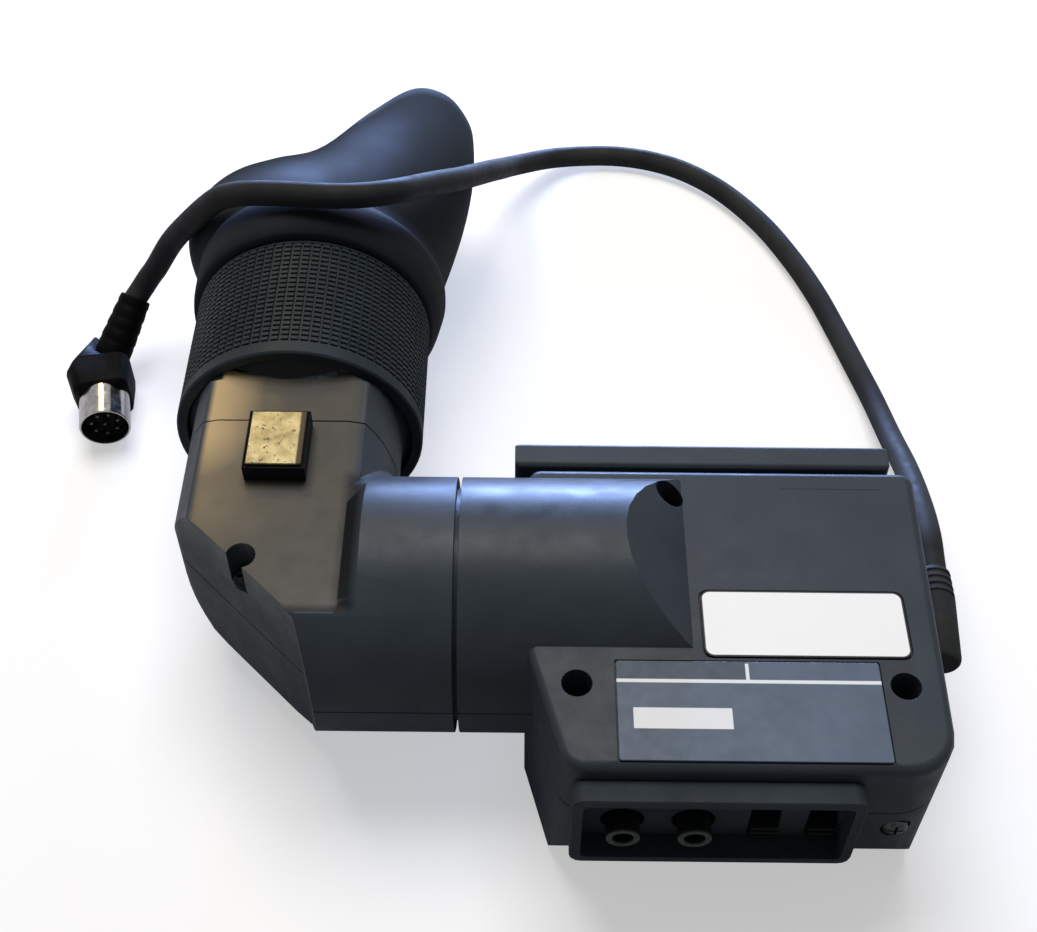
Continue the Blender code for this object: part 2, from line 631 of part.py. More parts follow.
def shell(name, finish, upper):
    """One half of the housing's shell, with its wells, its opening for the controls and its posts."""
    made = housing_form(name, 0, finish)
    hollow = housing_form(name + "_hollow", WALL)
    for key, place in WELL_PLACES.items():
        post = turned(
            f"{name}_{key}_post", [(0, BOSS_RADIUS), (BODY_HEIGHT, BOSS_RADIUS)], place, "Z", None, PART_SIDES
        )
        cut(hollow, post)
    if not upper:
        front_post = turned(
            name + "_front_post",
            [(-BODY_FRONT, BOSS_RADIUS), (-BODY_FRONT + FRONT_BOSS_DEPTH, BOSS_RADIUS)],
            (FRONT_SCREW_X, FRONT_SCREW_Z),
            "Y",
            None,
            PART_SIDES,
        )
        cut(hollow, front_post)
        for x in (MAIN_BOARD_LEFT + STANDOFF_INSET, MAIN_BOARD_RIGHT - STANDOFF_INSET):
            for y in (MAIN_BOARD_NEAR + STANDOFF_INSET, MAIN_BOARD_FAR - STANDOFF_INSET):
                standoff = turned(
                    f"{name}_standoff",
                    [(0, STANDOFF_RADIUS), (MAIN_BOARD_HEIGHT - GAP, STANDOFF_RADIUS)],
                    (x, y),
                    "Z",
                    None,
                    SMALL_SIDES,
                )
                cut(hollow, standoff)
        for share in RAIL_SCREW_SHARES.values():
            x = RAIL_LEFT + share * (RAIL_RIGHT - RAIL_LEFT)
            rail_post = turned(
                name + "_rail_post",
                [(BODY_BACK - RAIL_BOSS_DEPTH, BOSS_RADIUS * 0.8), (BODY_BACK, BOSS_RADIUS * 0.8)],
                (x, RAIL_SCREW_HEIGHT),
                "Y",
                None,
                PART_SIDES,
            )
            cut(hollow, rail_post)
    cut(made, hollow)

    far = BODY_SIDE + TUBE_REACH + OVERRUN
    if upper:
        away = ((-far, -far, -OVERRUN), (far, far, AXIS_HEIGHT + GAP / 2))
    else:
        away = ((-far, -far, AXIS_HEIGHT - GAP / 2), (far, far, AXIS_HEIGHT + TUBE_RADIUS + OVERRUN))
    cut(made, block(name + "_other_half", *away))

    window = rectangle(
        PANEL_LEFT + PANEL_STEP - GAP,
        PANEL_RIGHT - PANEL_STEP + GAP,
        PANEL_BOTTOM + PANEL_STEP - GAP,
        PANEL_TOP - PANEL_STEP + GAP,
        PANEL_CORNER,
    )
    front_levels = [(-BODY_FRONT - OVERRUN, window), (-BODY_FRONT + WALL + OVERRUN, window)]
    cut(made, prism(name + "_control_window", "Y", front_levels))

    top = AXIS_HEIGHT + TUBE_RADIUS
    for key, place in WELL_PLACES.items():
        well, hole = well_tools(f"{name}_{key}", place, WELL_SEAT, top)
        if upper:
            cut(made, well)
        cut(made, hole)
    if upper:
        bottom = BODY_HEIGHT - LABEL_THICKNESS + LABEL_STANDS - GAP
        plate = rectangle(
            PLATE_LEFT - GAP, PLATE_RIGHT + GAP, PLATE_NEAR - GAP, PLATE_FAR + GAP, STICKER_CORNER / 4
        )
        sticker = rectangle(
            STICKER_LEFT - GAP, STICKER_RIGHT + GAP, STICKER_NEAR - GAP, STICKER_FAR + GAP, STICKER_CORNER
        )
        for key, outline in (("plate", plate), ("sticker", sticker)):
            levels = [(bottom, outline), (BODY_HEIGHT + OVERRUN, outline)]
            cut(made, prism(f"{name}_{key}_seat", "Z", levels))
    else:
        place = (FRONT_SCREW_X, FRONT_SCREW_Z)
        seat = -BODY_FRONT + FRONT_SCREW_SINK
        well = turned(
            name + "_front_well", [(-BODY_FRONT - OVERRUN, WELL_RADIUS), (seat, WELL_RADIUS)], place, "Y", None
        )
        end = seat + FRONT_SCREW_LENGTH + GAP
        hole_profile = [(seat - OVERRUN, SCREW_RADIUS + GAP), (end, SCREW_RADIUS + GAP)]
        cut(made, well, turned(name + "_front_hole", hole_profile, place, "Y", None, SMALL_SIDES))
        for share in RAIL_SCREW_SHARES.values():
            x = RAIL_LEFT + share * (RAIL_RIGHT - RAIL_LEFT)
            deep = BODY_BACK - RAIL_BOSS_DEPTH - OVERRUN
            hole_profile = [(deep, SCREW_RADIUS + GAP), (BODY_BACK + OVERRUN, SCREW_RADIUS + GAP)]
            place = (x, RAIL_SCREW_HEIGHT)
            cut(made, turned(name + "_rail_hole", hole_profile, place, "Y", None, SMALL_SIDES))
    return made


def labels(look):
    """The bare plate and the bare sticker, each in its shallow seat."""
    top = BODY_HEIGHT + LABEL_STANDS
    plate = rectangle(PLATE_LEFT, PLATE_RIGHT, PLATE_NEAR, PLATE_FAR, STICKER_CORNER / 4)
    sticker = rectangle(STICKER_LEFT, STICKER_RIGHT, STICKER_NEAR, STICKER_FAR, STICKER_CORNER)
    prism("label_plate", "Z", [(top - LABEL_THICKNESS, plate), (top, plate)], look["blue"])
    prism("blank_sticker", "Z", [(top - LABEL_THICKNESS, sticker), (top, sticker)], look["white"])


def control_panel(look):
    """The hood that stands out of the front wall, with holes for the knobs and windows for the switches."""
    front = -BODY_FRONT - PANEL_STANDS
    rim_back = -BODY_FRONT - GAP
    floor = -BODY_FRONT + PANEL_SINK
    back = floor + PANEL_PLATE
    rim = rectangle(PANEL_LEFT, PANEL_RIGHT, PANEL_BOTTOM, PANEL_TOP, PANEL_CORNER)
    made = prism("control_panel", "Y", [(front, inset(rim, GAP)), (front + GAP, rim), (rim_back, rim)], look["panel"])
    plug = rectangle(
        PANEL_LEFT + PANEL_STEP, PANEL_RIGHT - PANEL_STEP, PANEL_BOTTOM + PANEL_STEP, PANEL_TOP - PANEL_STEP,
        PANEL_CORNER,
    )
    join(made, prism("control_panel_plug", "Y", [(rim_back - OVERRUN, plug), (back, plug)]))
    bay = rectangle(
        PANEL_LEFT + PANEL_RIM, PANEL_RIGHT - PANEL_RIM, PANEL_BOTTOM + PANEL_RIM, PANEL_TOP - PANEL_RIM,
        PANEL_CORNER / 2,
    )
    cut(made, prism("control_panel_bay", "Y", [(front - OVERRUN, bay), (floor, bay)]))
    for key, x in KNOB_PLACES.items():
        hole = [(floor - OVERRUN, KNOB_HOLE), (back + OVERRUN, KNOB_HOLE)]
        cut(made, turned(f"control_panel_{key}_hole", hole, (x, KNOB_HEIGHT), "Y", None, PART_SIDES))
    for key, x in SWITCH_PLACES.items():
        window = block(
            f"control_panel_{key}_window",
            (x - WINDOW_WIDTH / 2, floor - OVERRUN, WINDOW_BOTTOM),
            (x + WINDOW_WIDTH / 2, back + OVERRUN, WINDOW_TOP),
        )
        cut(made, window)
    for share in POST_SHARES:
        x = PANEL_LEFT + share * (PANEL_RIGHT - PANEL_LEFT)
        post = turned(
            "control_panel_post",
            [(back - PANEL_PLATE / 2, POST_RADIUS), (control_board_front() - GAP, POST_RADIUS)],
            (x, PANEL_TOP - POST_DROP),
            "Y",
            None,
            SMALL_SIDES,
        )
        join(made, post)
    return made


def control_board_front():
    """The face of the control board that its parts stand on."""
    return -CONTROL_BODY_FRONT + CONTROL_BODY_DEPTH + GAP


def controls(look, pivots):
    """Knobs with their spindles, slide switches, and the bodies behind them on their board."""
    body_front = -CONTROL_BODY_FRONT
    body_back = body_front + CONTROL_BODY_DEPTH
    half_width, half_height = CONTROL_BODY_WIDTH / 2, CONTROL_BODY_HEIGHT / 2
    for key, x in KNOB_PLACES.items():
        place = (x, KNOB_HEIGHT)
        front, back = -BODY_FRONT - KNOB_REACH, -BODY_FRONT + KNOB_BACK
        profile = [
            (front + KNOB_HOLLOW_DEPTH, KNOB_HOLLOW_RADIUS * 0.8),
            (front, KNOB_HOLLOW_RADIUS),
            (front, KNOB_RADIUS - GAP),
            (front + GAP, KNOB_RADIUS),
            (back, KNOB_RADIUS),
            (back, SPINDLE_RADIUS),
            (back + SPINDLE_LENGTH, SPINDLE_RADIUS),
        ]
        knob = turned(key + "_knob", profile, place, "Y", look["panel"])
        hang(knob, pivots[key + "_knob"])
        case = block(
            key + "_potentiometer",
            (x - half_width, body_front, KNOB_HEIGHT - half_height),
            (x + half_width, body_back, KNOB_HEIGHT + half_height),
            look["steel"],
        )
        bore = [(body_front - OVERRUN, SPINDLE_RADIUS + GAP), (back + SPINDLE_LENGTH + GAP, SPINDLE_RADIUS + GAP)]
        cut(case, turned(key + "_spindle_bore", bore, place, "Y", None))
    for key, x in SWITCH_PLACES.items():
        travel = WINDOW_TOP - WINDOW_BOTTOM - SLIDER_HEIGHT - 2 * GAP
        low = WINDOW_BOTTOM + GAP
        half = WINDOW_WIDTH / 2 - GAP
        front, back = -BODY_FRONT - SLIDER_REACH, body_front - GAP
        slider = block(
            key + "_slider", (x - half, front, low), (x + half, back, low + SLIDER_HEIGHT), look["black"]
        )
        ridge = SLIDER_HEIGHT / 5
        for step in (1, 3):
            groove = block(
                f"{key}_slider_groove",
                (x - half - OVERRUN, front - OVERRUN, low + ridge * step),
                (x + half + OVERRUN, front + SLIDER_REACH / 2, low + ridge * (step + 1)),
            )
            cut(slider, groove)
        middle = low + SLIDER_HEIGHT / 2
        stem = block(
            key + "_slider_stem",
            (x - STEM_WIDTH / 2, back - OVERRUN, middle - STEM_HEIGHT / 2),
            (x + STEM_WIDTH / 2, body_front + STEM_LENGTH, middle + STEM_HEIGHT / 2),
        )
        join(slider, stem)
        hang(slider, pivots[key + "_switch"])
        centre = (WINDOW_BOTTOM + WINDOW_TOP) / 2
        case = block(
            key + "_switch_body",
            (x - half_width, body_front, centre - half_height),
            (x + half_width, body_back, centre + half_height),
            look["bright"],
        )
        slot = block(
            key + "_switch_slot",
            (x - STEM_WIDTH / 2 - GAP, body_front - OVERRUN, middle - STEM_HEIGHT / 2 - GAP),
            (x + STEM_WIDTH / 2 + GAP, body_front + STEM_LENGTH + GAP, middle + STEM_HEIGHT / 2 + travel + GAP),
        )
        cut(case, slot)
    board_front = control_board_front()
    block(
        "control_board",
        (PANEL_LEFT + CONTROL_BOARD_MARGIN, board_front, PANEL_BOTTOM),
        (PANEL_RIGHT - CONTROL_BOARD_MARGIN, board_front + BOARD_THICKNESS, PANEL_TOP - CONTROL_BOARD_MARGIN),
        look["board"],
    )


def main_board(look):
    """The board on the lower shell's posts, with the parts that stand on it."""
    top = MAIN_BOARD_HEIGHT + BOARD_THICKNESS
    block(
        "main_board",
        (MAIN_BOARD_LEFT, MAIN_BOARD_NEAR, MAIN_BOARD_HEIGHT),
        (MAIN_BOARD_RIGHT, MAIN_BOARD_FAR, top),
        look["board"],
    )
    foot = top + GAP
    cans = (
        ("flyback_transformer", FLYBACK_PLACE, FLYBACK_RADIUS, FLYBACK_HEIGHT, "black"),
        ("capacitor_tall", TALL_PLACE, CAPACITOR_RADIUS, CAPACITOR_TALL, "bright"),
        ("capacitor_short", SHORT_PLACE, CAPACITOR_RADIUS, CAPACITOR_SHORT, "bright"),
    )
    for name, place, radius, height, key in cans:
        profile = [(foot, radius), (foot + height - GAP, radius), (foot + height, radius - GAP)]
        turned(name, profile, place, "Z", look[key])
    width, depth, height = CONNECTOR_SIZE
    x, y = CONNECTOR_PLACE
    connector = block(
        "board_connector", (x - width / 2, y - depth / 2, foot), (x + width / 2, y + depth / 2, foot + height),
        look["white"],
    )
    socket = block(
        "board_connector_socket",
        (x - width / 3, y - depth / 4, foot + height / 2),
        (x + width / 3, y + depth / 4, foot + height + OVERRUN),
    )
    cut(connector, socket)


def picture_tube(look):
    """The picture tube, its holder and mask, its yoke and its socket."""
    centre = (0, AXIS_HEIGHT)
    face = -BODY_SIDE - TUBE_REACH + SCREEN_SETBACK
    skirt = face + SKIRT_LENGTH
    funnel = skirt + FUNNEL_LENGTH
    end = funnel + NECK_LENGTH
    bulb = [
        (face, SCREEN_RADIUS * 0.97), (face + GAP * 2, SCREEN_RADIUS), (skirt, SCREEN_RADIUS),
        (funnel, NECK_RADIUS), (end, NECK_RADIUS),
    ]
    turned("picture_tube", bulb, centre, "X", look["phosphor"], ROUND_SIDES // 2)

    def funnel_radius(x):
        share = (x - skirt) / FUNNEL_LENGTH
        return SCREEN_RADIUS + (NECK_RADIUS - SCREEN_RADIUS) * share

    start = funnel - YOKE_FLARE
    yoke = [
        (start, funnel_radius(start) + 3 * GAP), (start, YOKE_RADIUS), (funnel + YOKE_LENGTH, YOKE_RADIUS),
        (funnel + YOKE_LENGTH, NECK_RADIUS + GAP), (funnel, NECK_RADIUS + 2 * GAP),
    ]
    turned("deflection_yoke", yoke, centre, "X", look["copper"], ROUND_SIDES // 2, looped=True)
    outer = TUBE_RADIUS - WALL - GAP
    lip = face - GAP
    holder = [
        (lip - GAP * 2, SCREEN_RADIUS - HOLDER_LIP), (lip - GAP * 2, outer), (face + HOLDER_LENGTH, outer),
        (face + HOLDER_LENGTH, SCREEN_RADIUS + 2 * GAP), (lip, SCREEN_RADIUS + 2 * GAP), (lip, SCREEN_RADIUS - HOLDER_LIP),
    ]
    turned("picture_tube_holder", holder, centre, "X", look["black"], ROUND_SIDES, looped=True)
    socket = end + GAP
    turned("tube_socket", [(socket, SOCKET_RADIUS), (socket + SOCKET_LENGTH, SOCKET_RADIUS)], centre, "X", look["black"])
    board = socket + SOCKET_LENGTH + GAP
    half = SOCKET_BOARD_SIDE / 2
    block(
        "socket_board", (board, -half, AXIS_HEIGHT - half), (board + BOARD_THICKNESS, half, AXIS_HEIGHT + half),
        look["board"],
    )


def slide_rail(look):
    """The rail along the back, standing off the wall on its web, with two sunk screws."""
    levels = []
    for y, depth in (
        (RAIL_NEAR, RAIL_BEVEL), (RAIL_NEAR + RAIL_BEVEL, 0), (RAIL_FAR - RAIL_BEVEL, 0), (RAIL_FAR, RAIL_BEVEL)
    ):
        levels.append(
            (y, [(RAIL_LEFT + depth, RAIL_BOTTOM + depth), (RAIL_RIGHT - depth, RAIL_BOTTOM + depth),
                 (RAIL_RIGHT - depth, RAIL_TOP - depth), (RAIL_LEFT + depth, RAIL_TOP - depth)])
        )
    rail = prism("slide_rail", "Y", levels, look["panel"])
    web = block(
        "slide_rail_web",
        (RAIL_LEFT + RAIL_WEB_INSET, BODY_BACK + GAP, RAIL_BOTTOM + RAIL_WEB_INSET),
        (RAIL_RIGHT - RAIL_WEB_INSET, RAIL_NEAR + RAIL_BEVEL * 2, RAIL_TOP - RAIL_WEB_INSET),
    )
    join(rail, web)
    for name, share in RAIL_SCREW_SHARES.items():
        place = (RAIL_LEFT + share * (RAIL_RIGHT - RAIL_LEFT), RAIL_SCREW_HEIGHT)
        seat = RAIL_FAR - SCREW_HEAD - 2 * GAP
        well = [(seat, RAIL_HEAD_RADIUS + GAP), (RAIL_FAR + OVERRUN, RAIL_HEAD_RADIUS + GAP)]
        hole = [(BODY_BACK - OVERRUN, SCREW_RADIUS + GAP), (seat + OVERRUN, SCREW_RADIUS + GAP)]
        cut(rail, turned(name + "_well", well, place, "Y", None))
        cut(rail, turned(name + "_hole", hole, place, "Y", None, SMALL_SIDES))
        screw(name, place, seat, RAIL_SCREW_LENGTH, look["steel"], "Y", 1, RAIL_HEAD_RADIUS)


def strain_relief(look):
    """The moulded elbow that the cable leaves the right wall through, with ribs towards its tip."""
    rings = []
    span = RELIEF_FAR_Y - RELIEF_NEAR_Y
    stops = [(0.0, RELIEF_RADIUS * 0.75), (0.06, RELIEF_RADIUS), (0.45, RELIEF_RADIUS)]
    pitch = 0.5 / RELIEF_RIBS
    for rib in range(RELIEF_RIBS):
        share = 0.47 + rib * pitch
        radius = RELIEF_RADIUS + (RELIEF_TIP_RADIUS - RELIEF_RADIUS) * rib / RELIEF_RIBS
        stops += [(share, radius - RELIEF_RIB), (share + pitch * 0.35, radius - RELIEF_RIB)]
        stops += [(share + pitch * 0.45, radius), (share + pitch * 0.9, radius)]
    stops.append((1.0, RELIEF_TIP_RADIUS))
    for share, radius in stops:
        x = RELIEF_NEAR_X + share * (RELIEF_FAR_X - RELIEF_NEAR_X)
        y = RELIEF_NEAR_Y + share * span
        rings.append([(x + a, y, RELIEF_HEIGHT + b) for a, b in circle(radius, SMALL_SIDES)])
    relief = loft("strain_relief", rings, look["cable"])
    foot_far = RELIEF_NEAR_Y + RELIEF_RADIUS / 2 + RELIEF_FOOT_LENGTH
    lean = SIDE_TAPER * (BODY_BACK - foot_far) / (BODY_BACK + BODY_FRONT)
    foot = block(
        "strain_relief_foot",
        (BODY_SIDE - lean + GAP, RELIEF_NEAR_Y + RELIEF_RADIUS / 2, RELIEF_HEIGHT - RELIEF_FOOT_HEIGHT / 2),
        (RELIEF_NEAR_X, foot_far, RELIEF_HEIGHT + RELIEF_FOOT_HEIGHT / 2),
    )
    join(relief, foot)


def smooth_route(points, spacing):
    """Points at an even spacing along a smooth curve through the route's own points."""
    places = [Vector(point) for point in points]
    places = [2 * places[0] - places[1], *places, 2 * places[-1] - places[-2]]
    fine = []
    for index in range(1, len(places) - 2):
        before, start, end, after = places[index - 1:index + 3]
        for step in range(20):
            t = step / 20
            fine.append(
                0.5 * (2 * start + (end - before) * t + (2 * before - 5 * start + 4 * end - after) * t**2
                       + (3 * start - before - 3 * end + after) * t**3)
            )
    fine.append(places[-2])
    lengths = [0.0]
    for first, second in zip(fine, fine[1:]):
        lengths.append(lengths[-1] + (second - first).length)
    count = max(2, round(lengths[-1] / spacing))
    route, index = [], 0
    for step in sorted({*range(count + 1), END_SHARE, count - END_SHARE}):
        wanted = lengths[-1] * step / count
        while index < len(fine) - 2 and lengths[index + 1] < wanted:
            index += 1
        part = (wanted - lengths[index]) / (lengths[index + 1] - lengths[index])
        route.append(fine[index].lerp(fine[index + 1], part))
    return route


def cable(look):
    """The cable, as one tube from the strain relief to the plug's boot."""
    route = smooth_route(CORD_ROUTE, CORD_DIAMETER * CORD_STEP_DIAMETERS)
    curve = bpy.data.curves.new("cable", "CURVE")
    curve.dimensions = "3D"
    curve.bevel_depth = CORD_DIAMETER / 2
    curve.bevel_resolution = 2
    curve.use_fill_caps = True
    spline = curve.splines.new("POLY")
    spline.points.add(len(route) - 1)
    for point, place in zip(spline.points, route):
        point.co = (*place, 1.0)
    curve.materials.append(look["cable"])
    bpy.context.collection.objects.link(bpy.data.objects.new("cable", curve))


def plug(look):
    """The round plug: shell, insert, contacts, angled body and the ribbed boot that the cable enters."""
    frame = Matrix.Translation(PLUG_FACE) @ Matrix.Rotation(PLUG_TURN, 4, "Z")
    inner = SHELL_RADIUS - SHELL_WALL
    case = turned(
        "plug_shell",
        [(0, inner), (0, SHELL_RADIUS), (SHELL_LENGTH, SHELL_RADIUS), (SHELL_LENGTH, inner)],
        (0, 0), "Y", look["chrome"], PART_SIDES, looped=True,
    )
    key = block(
        "plug_shell_key",
        (-KEY_WIDTH / 2, -OVERRUN, inner - GAP),
        (KEY_WIDTH / 2, KEY_LENGTH, SHELL_RADIUS + OVERRUN),
    )
    cut(case, key)
    seat = inner - GAP
    insert = turned("plug_insert", [(INSERT_START, seat), (INSERT_END, seat)], (0, 0), "Y", look["black"])
    carrier = INSERT_END + GAP
    pins = turned("plug_pins", [(carrier, seat), (carrier + PIN_CARRIER, seat)], (0, 0), "Y", look["bright"])
    places = [(0.0, 0.0)]
    for step in range(CONTACT_COUNT):
        turn = math.radians(-90) + math.radians(52) * (step - (CONTACT_COUNT - 1) / 2)
        places.append((CONTACT_CIRCLE * math.cos(turn), CONTACT_CIRCLE * math.sin(turn)))
    for index, place in enumerate(places):
        tip = [(CONTACT_START, CONTACT_RADIUS * 0.6), (CONTACT_START + CONTACT_RADIUS, CONTACT_RADIUS)]
        join(pins, turned(f"plug_contact_{index}", [*tip, (carrier + GAP, CONTACT_RADIUS)], place, "Y", None, 8))
        bore = [(INSERT_START - OVERRUN, CONTACT_RADIUS + GAP), (INSERT_END + OVERRUN, CONTACT_RADIUS + GAP)]
        cut(insert, turned(f"plug_bore_{index}", bore, place, "Y", None, 8))

    boot_top = frame.inverted() @ Vector(BOOT_TOP)
    root = Vector((0, PLUG_BODY_END, 0))
    boot_way = (boot_top - root).normalized()
    stops = [(0.0, 0.86, 0.86), (0.06, 1.0, 1.0), (0.55, 1.0, 1.0), (0.80, 0.80, 0.84), (1.0, 0.64, 0.70)]
    rings = []
    for share, wide, tall in stops:
        along = PLUG_BODY_START + share * (PLUG_BODY_END - PLUG_BODY_START)
        lean = max(0.0, (share - 0.55) / 0.45)
        way = Vector((0, 1, 0)).lerp(boot_way, lean).normalized()
        side = way.cross(Vector((0, 0, 1))).normalized()
        up = side.cross(way)
        half_wide, half_tall = PLUG_HALF_WIDTH * wide, PLUG_HALF_HEIGHT * tall
        outline = rectangle(-half_wide, half_wide, -half_tall, half_tall, half_tall * 0.45)
        rings.append([tuple(Vector((0, along, 0)) + side * a + up * b) for a, b in outline])
    grip = loft("plug_body", rings, look["cable"])
    cut(grip, turned(
        "plug_body_bore",
        [(PLUG_BODY_START - OVERRUN, SHELL_RADIUS + GAP), (SHELL_LENGTH + GAP, SHELL_RADIUS + GAP)],
        (0, 0), "Y", None, PART_SIDES,
    ))

    start = root + boot_way * (2 * GAP)
    span = boot_top - start
    side = boot_way.cross(Vector((0, 0, 1))).normalized()
    up = side.cross(boot_way)
    stops = [(0.0, BOOT_RADIUS)]
    pitch = 0.84 / BOOT_RIBS
    for rib in range(BOOT_RIBS):
        share = 0.08 + rib * pitch
        radius = BOOT_RADIUS + (BOOT_TIP_RADIUS - BOOT_RADIUS) * (rib + 1) / BOOT_RIBS
        stops += [(share, radius), (share + pitch * 0.1, radius - RELIEF_RIB)]
        stops += [(share + pitch * 0.4, radius - RELIEF_RIB), (share + pitch * 0.5, radius)]
    stops.append((1.0, BOOT_TIP_RADIUS))
    tip = 1 - GAP / span.length
    rings = []
    for share, radius in stops:
        middle = start + span * (share * tip)
        rings.append([tuple(middle + side * a + up * b) for a, b in circle(radius, SMALL_SIDES)])
    boot = loft("plug_boot", rings, look["cable"])
    for piece in (case, insert, pins, grip, boot):
        piece.matrix_world = frame
    for tool in bpy.data.objects:
        if tool.name.startswith("plug_") and tool.hide_render:
            tool.matrix_world = frame


def neck_ring(radius, half_width, half_height, sides=ROUND_SIDES):
    """A circle cut flat at the top and bottom, whose sides bow in to the half width."""
    places = []
    for a, b in circle(radius, sides):
        b = min(max(b, -half_height), half_height)
        side = half_width * math.sqrt(1 - (b / (radius * NECK_SIDE_BOW)) ** 2)
        places.append((min(max(a, -side), side), b))
    return places


def elbow_form(name, depth, finish=None):
    """The elbow's outside moved inwards by the depth: the cross tube, the neck and the mirror wall."""
    radius = TUBE_RADIUS - depth
    half_width, half_height = NECK_HALF_WIDTH - depth, NECK_HALF_HEIGHT - depth
    run = OVERRUN if depth else 0
    right = -BODY_SIDE - TUBE_REACH - SEAM_GAP + run
    shoulder = ELBOW_AXIS_X + ELBOW_SHOULDER
    full = circle(radius, ROUND_SIDES)
    flat = neck_ring(radius, radius, half_height)
    neck = neck_ring(radius, half_width, half_height)
    back = FLIP_SEAM_Y + run
    rings = []
    for x, places in ((right, full), (shoulder + ELBOW_CHAMFER + depth, full), (shoulder + depth, flat)):
        rings.append([(max(x, ELBOW_AXIS_X + a), a, AXIS_HEIGHT + b) for a, b in places])
    rings.append([(ELBOW_AXIS_X + a, a, AXIS_HEIGHT + b) for a, b in flat])
    rings.append(
        [(ELBOW_AXIS_X + n, a + abs(a - n), AXIS_HEIGHT + b) for (a, b), (n, _) in zip(flat, neck)]
    )
    rings.append([(ELBOW_AXIS_X + n, back, AXIS_HEIGHT + b) for n, b in neck])
    form = loft(name, rings, finish)
    far = TUBE_RADIUS * 2
    wall = ELBOW_AXIS_X - MIRROR_WALL + depth * math.sqrt(2)
    left = ELBOW_AXIS_X - half_width
    tangent = (MIRROR_CORNER - depth) * math.tan(math.radians(22.5))
    corner_y = wall - left
    centre = Vector((left + MIRROR_CORNER - depth, corner_y + tangent))
    arc = []
    for step in range(7):
        turn = math.radians(180) + math.radians(45) * step / 6
        arc.append((centre.x + (MIRROR_CORNER - depth) * math.cos(turn),
                    centre.y + (MIRROR_CORNER - depth) * math.sin(turn)))
    end_x = ELBOW_AXIS_X + MIRROR_WALL_END
    end_y = ELBOW_AXIS_X - MIRROR_WALL - end_x
    sheer = end_x + MIRROR_END_SLOPE * end_y + depth * math.hypot(1, MIRROR_END_SLOPE)
    turn_y = (wall - sheer) / (1 - MIRROR_END_SLOPE)
    outside = [
        (left, far), *arc, (wall - turn_y, turn_y), (sheer + MIRROR_END_SLOPE * far, -far), (left - far, -far),
        (left - far, far),
    ]
    low, high = AXIS_HEIGHT - TUBE_RADIUS - OVERRUN, AXIS_HEIGHT + TUBE_RADIUS + OVERRUN
    cut(form, prism(name + "_outside", "Z", [(low, outside), (high, outside)]))
    return form


def across_mirror(name, along, half_length, near, far, half_height, finish=None):
    """A plate parallel to the mirror wall. Near and far are measured from the wall's outer face."""
    length_way, depth_way = Vector((1, -1)).normalized(), Vector((1, 1)).normalized()
    origin = Vector((ELBOW_AXIS_X, 0)) - depth_way * (MIRROR_WALL / math.sqrt(2))
    outline = []
    for length, depth in ((-1, near), (1, near), (1, far), (-1, far)):
        outline.append(tuple(origin + length_way * (along + length * half_length) + depth_way * depth))
    low, high = AXIS_HEIGHT - half_height, AXIS_HEIGHT + half_height
    return prism(name, "Z", [(low, outline), (high, outline)], finish)


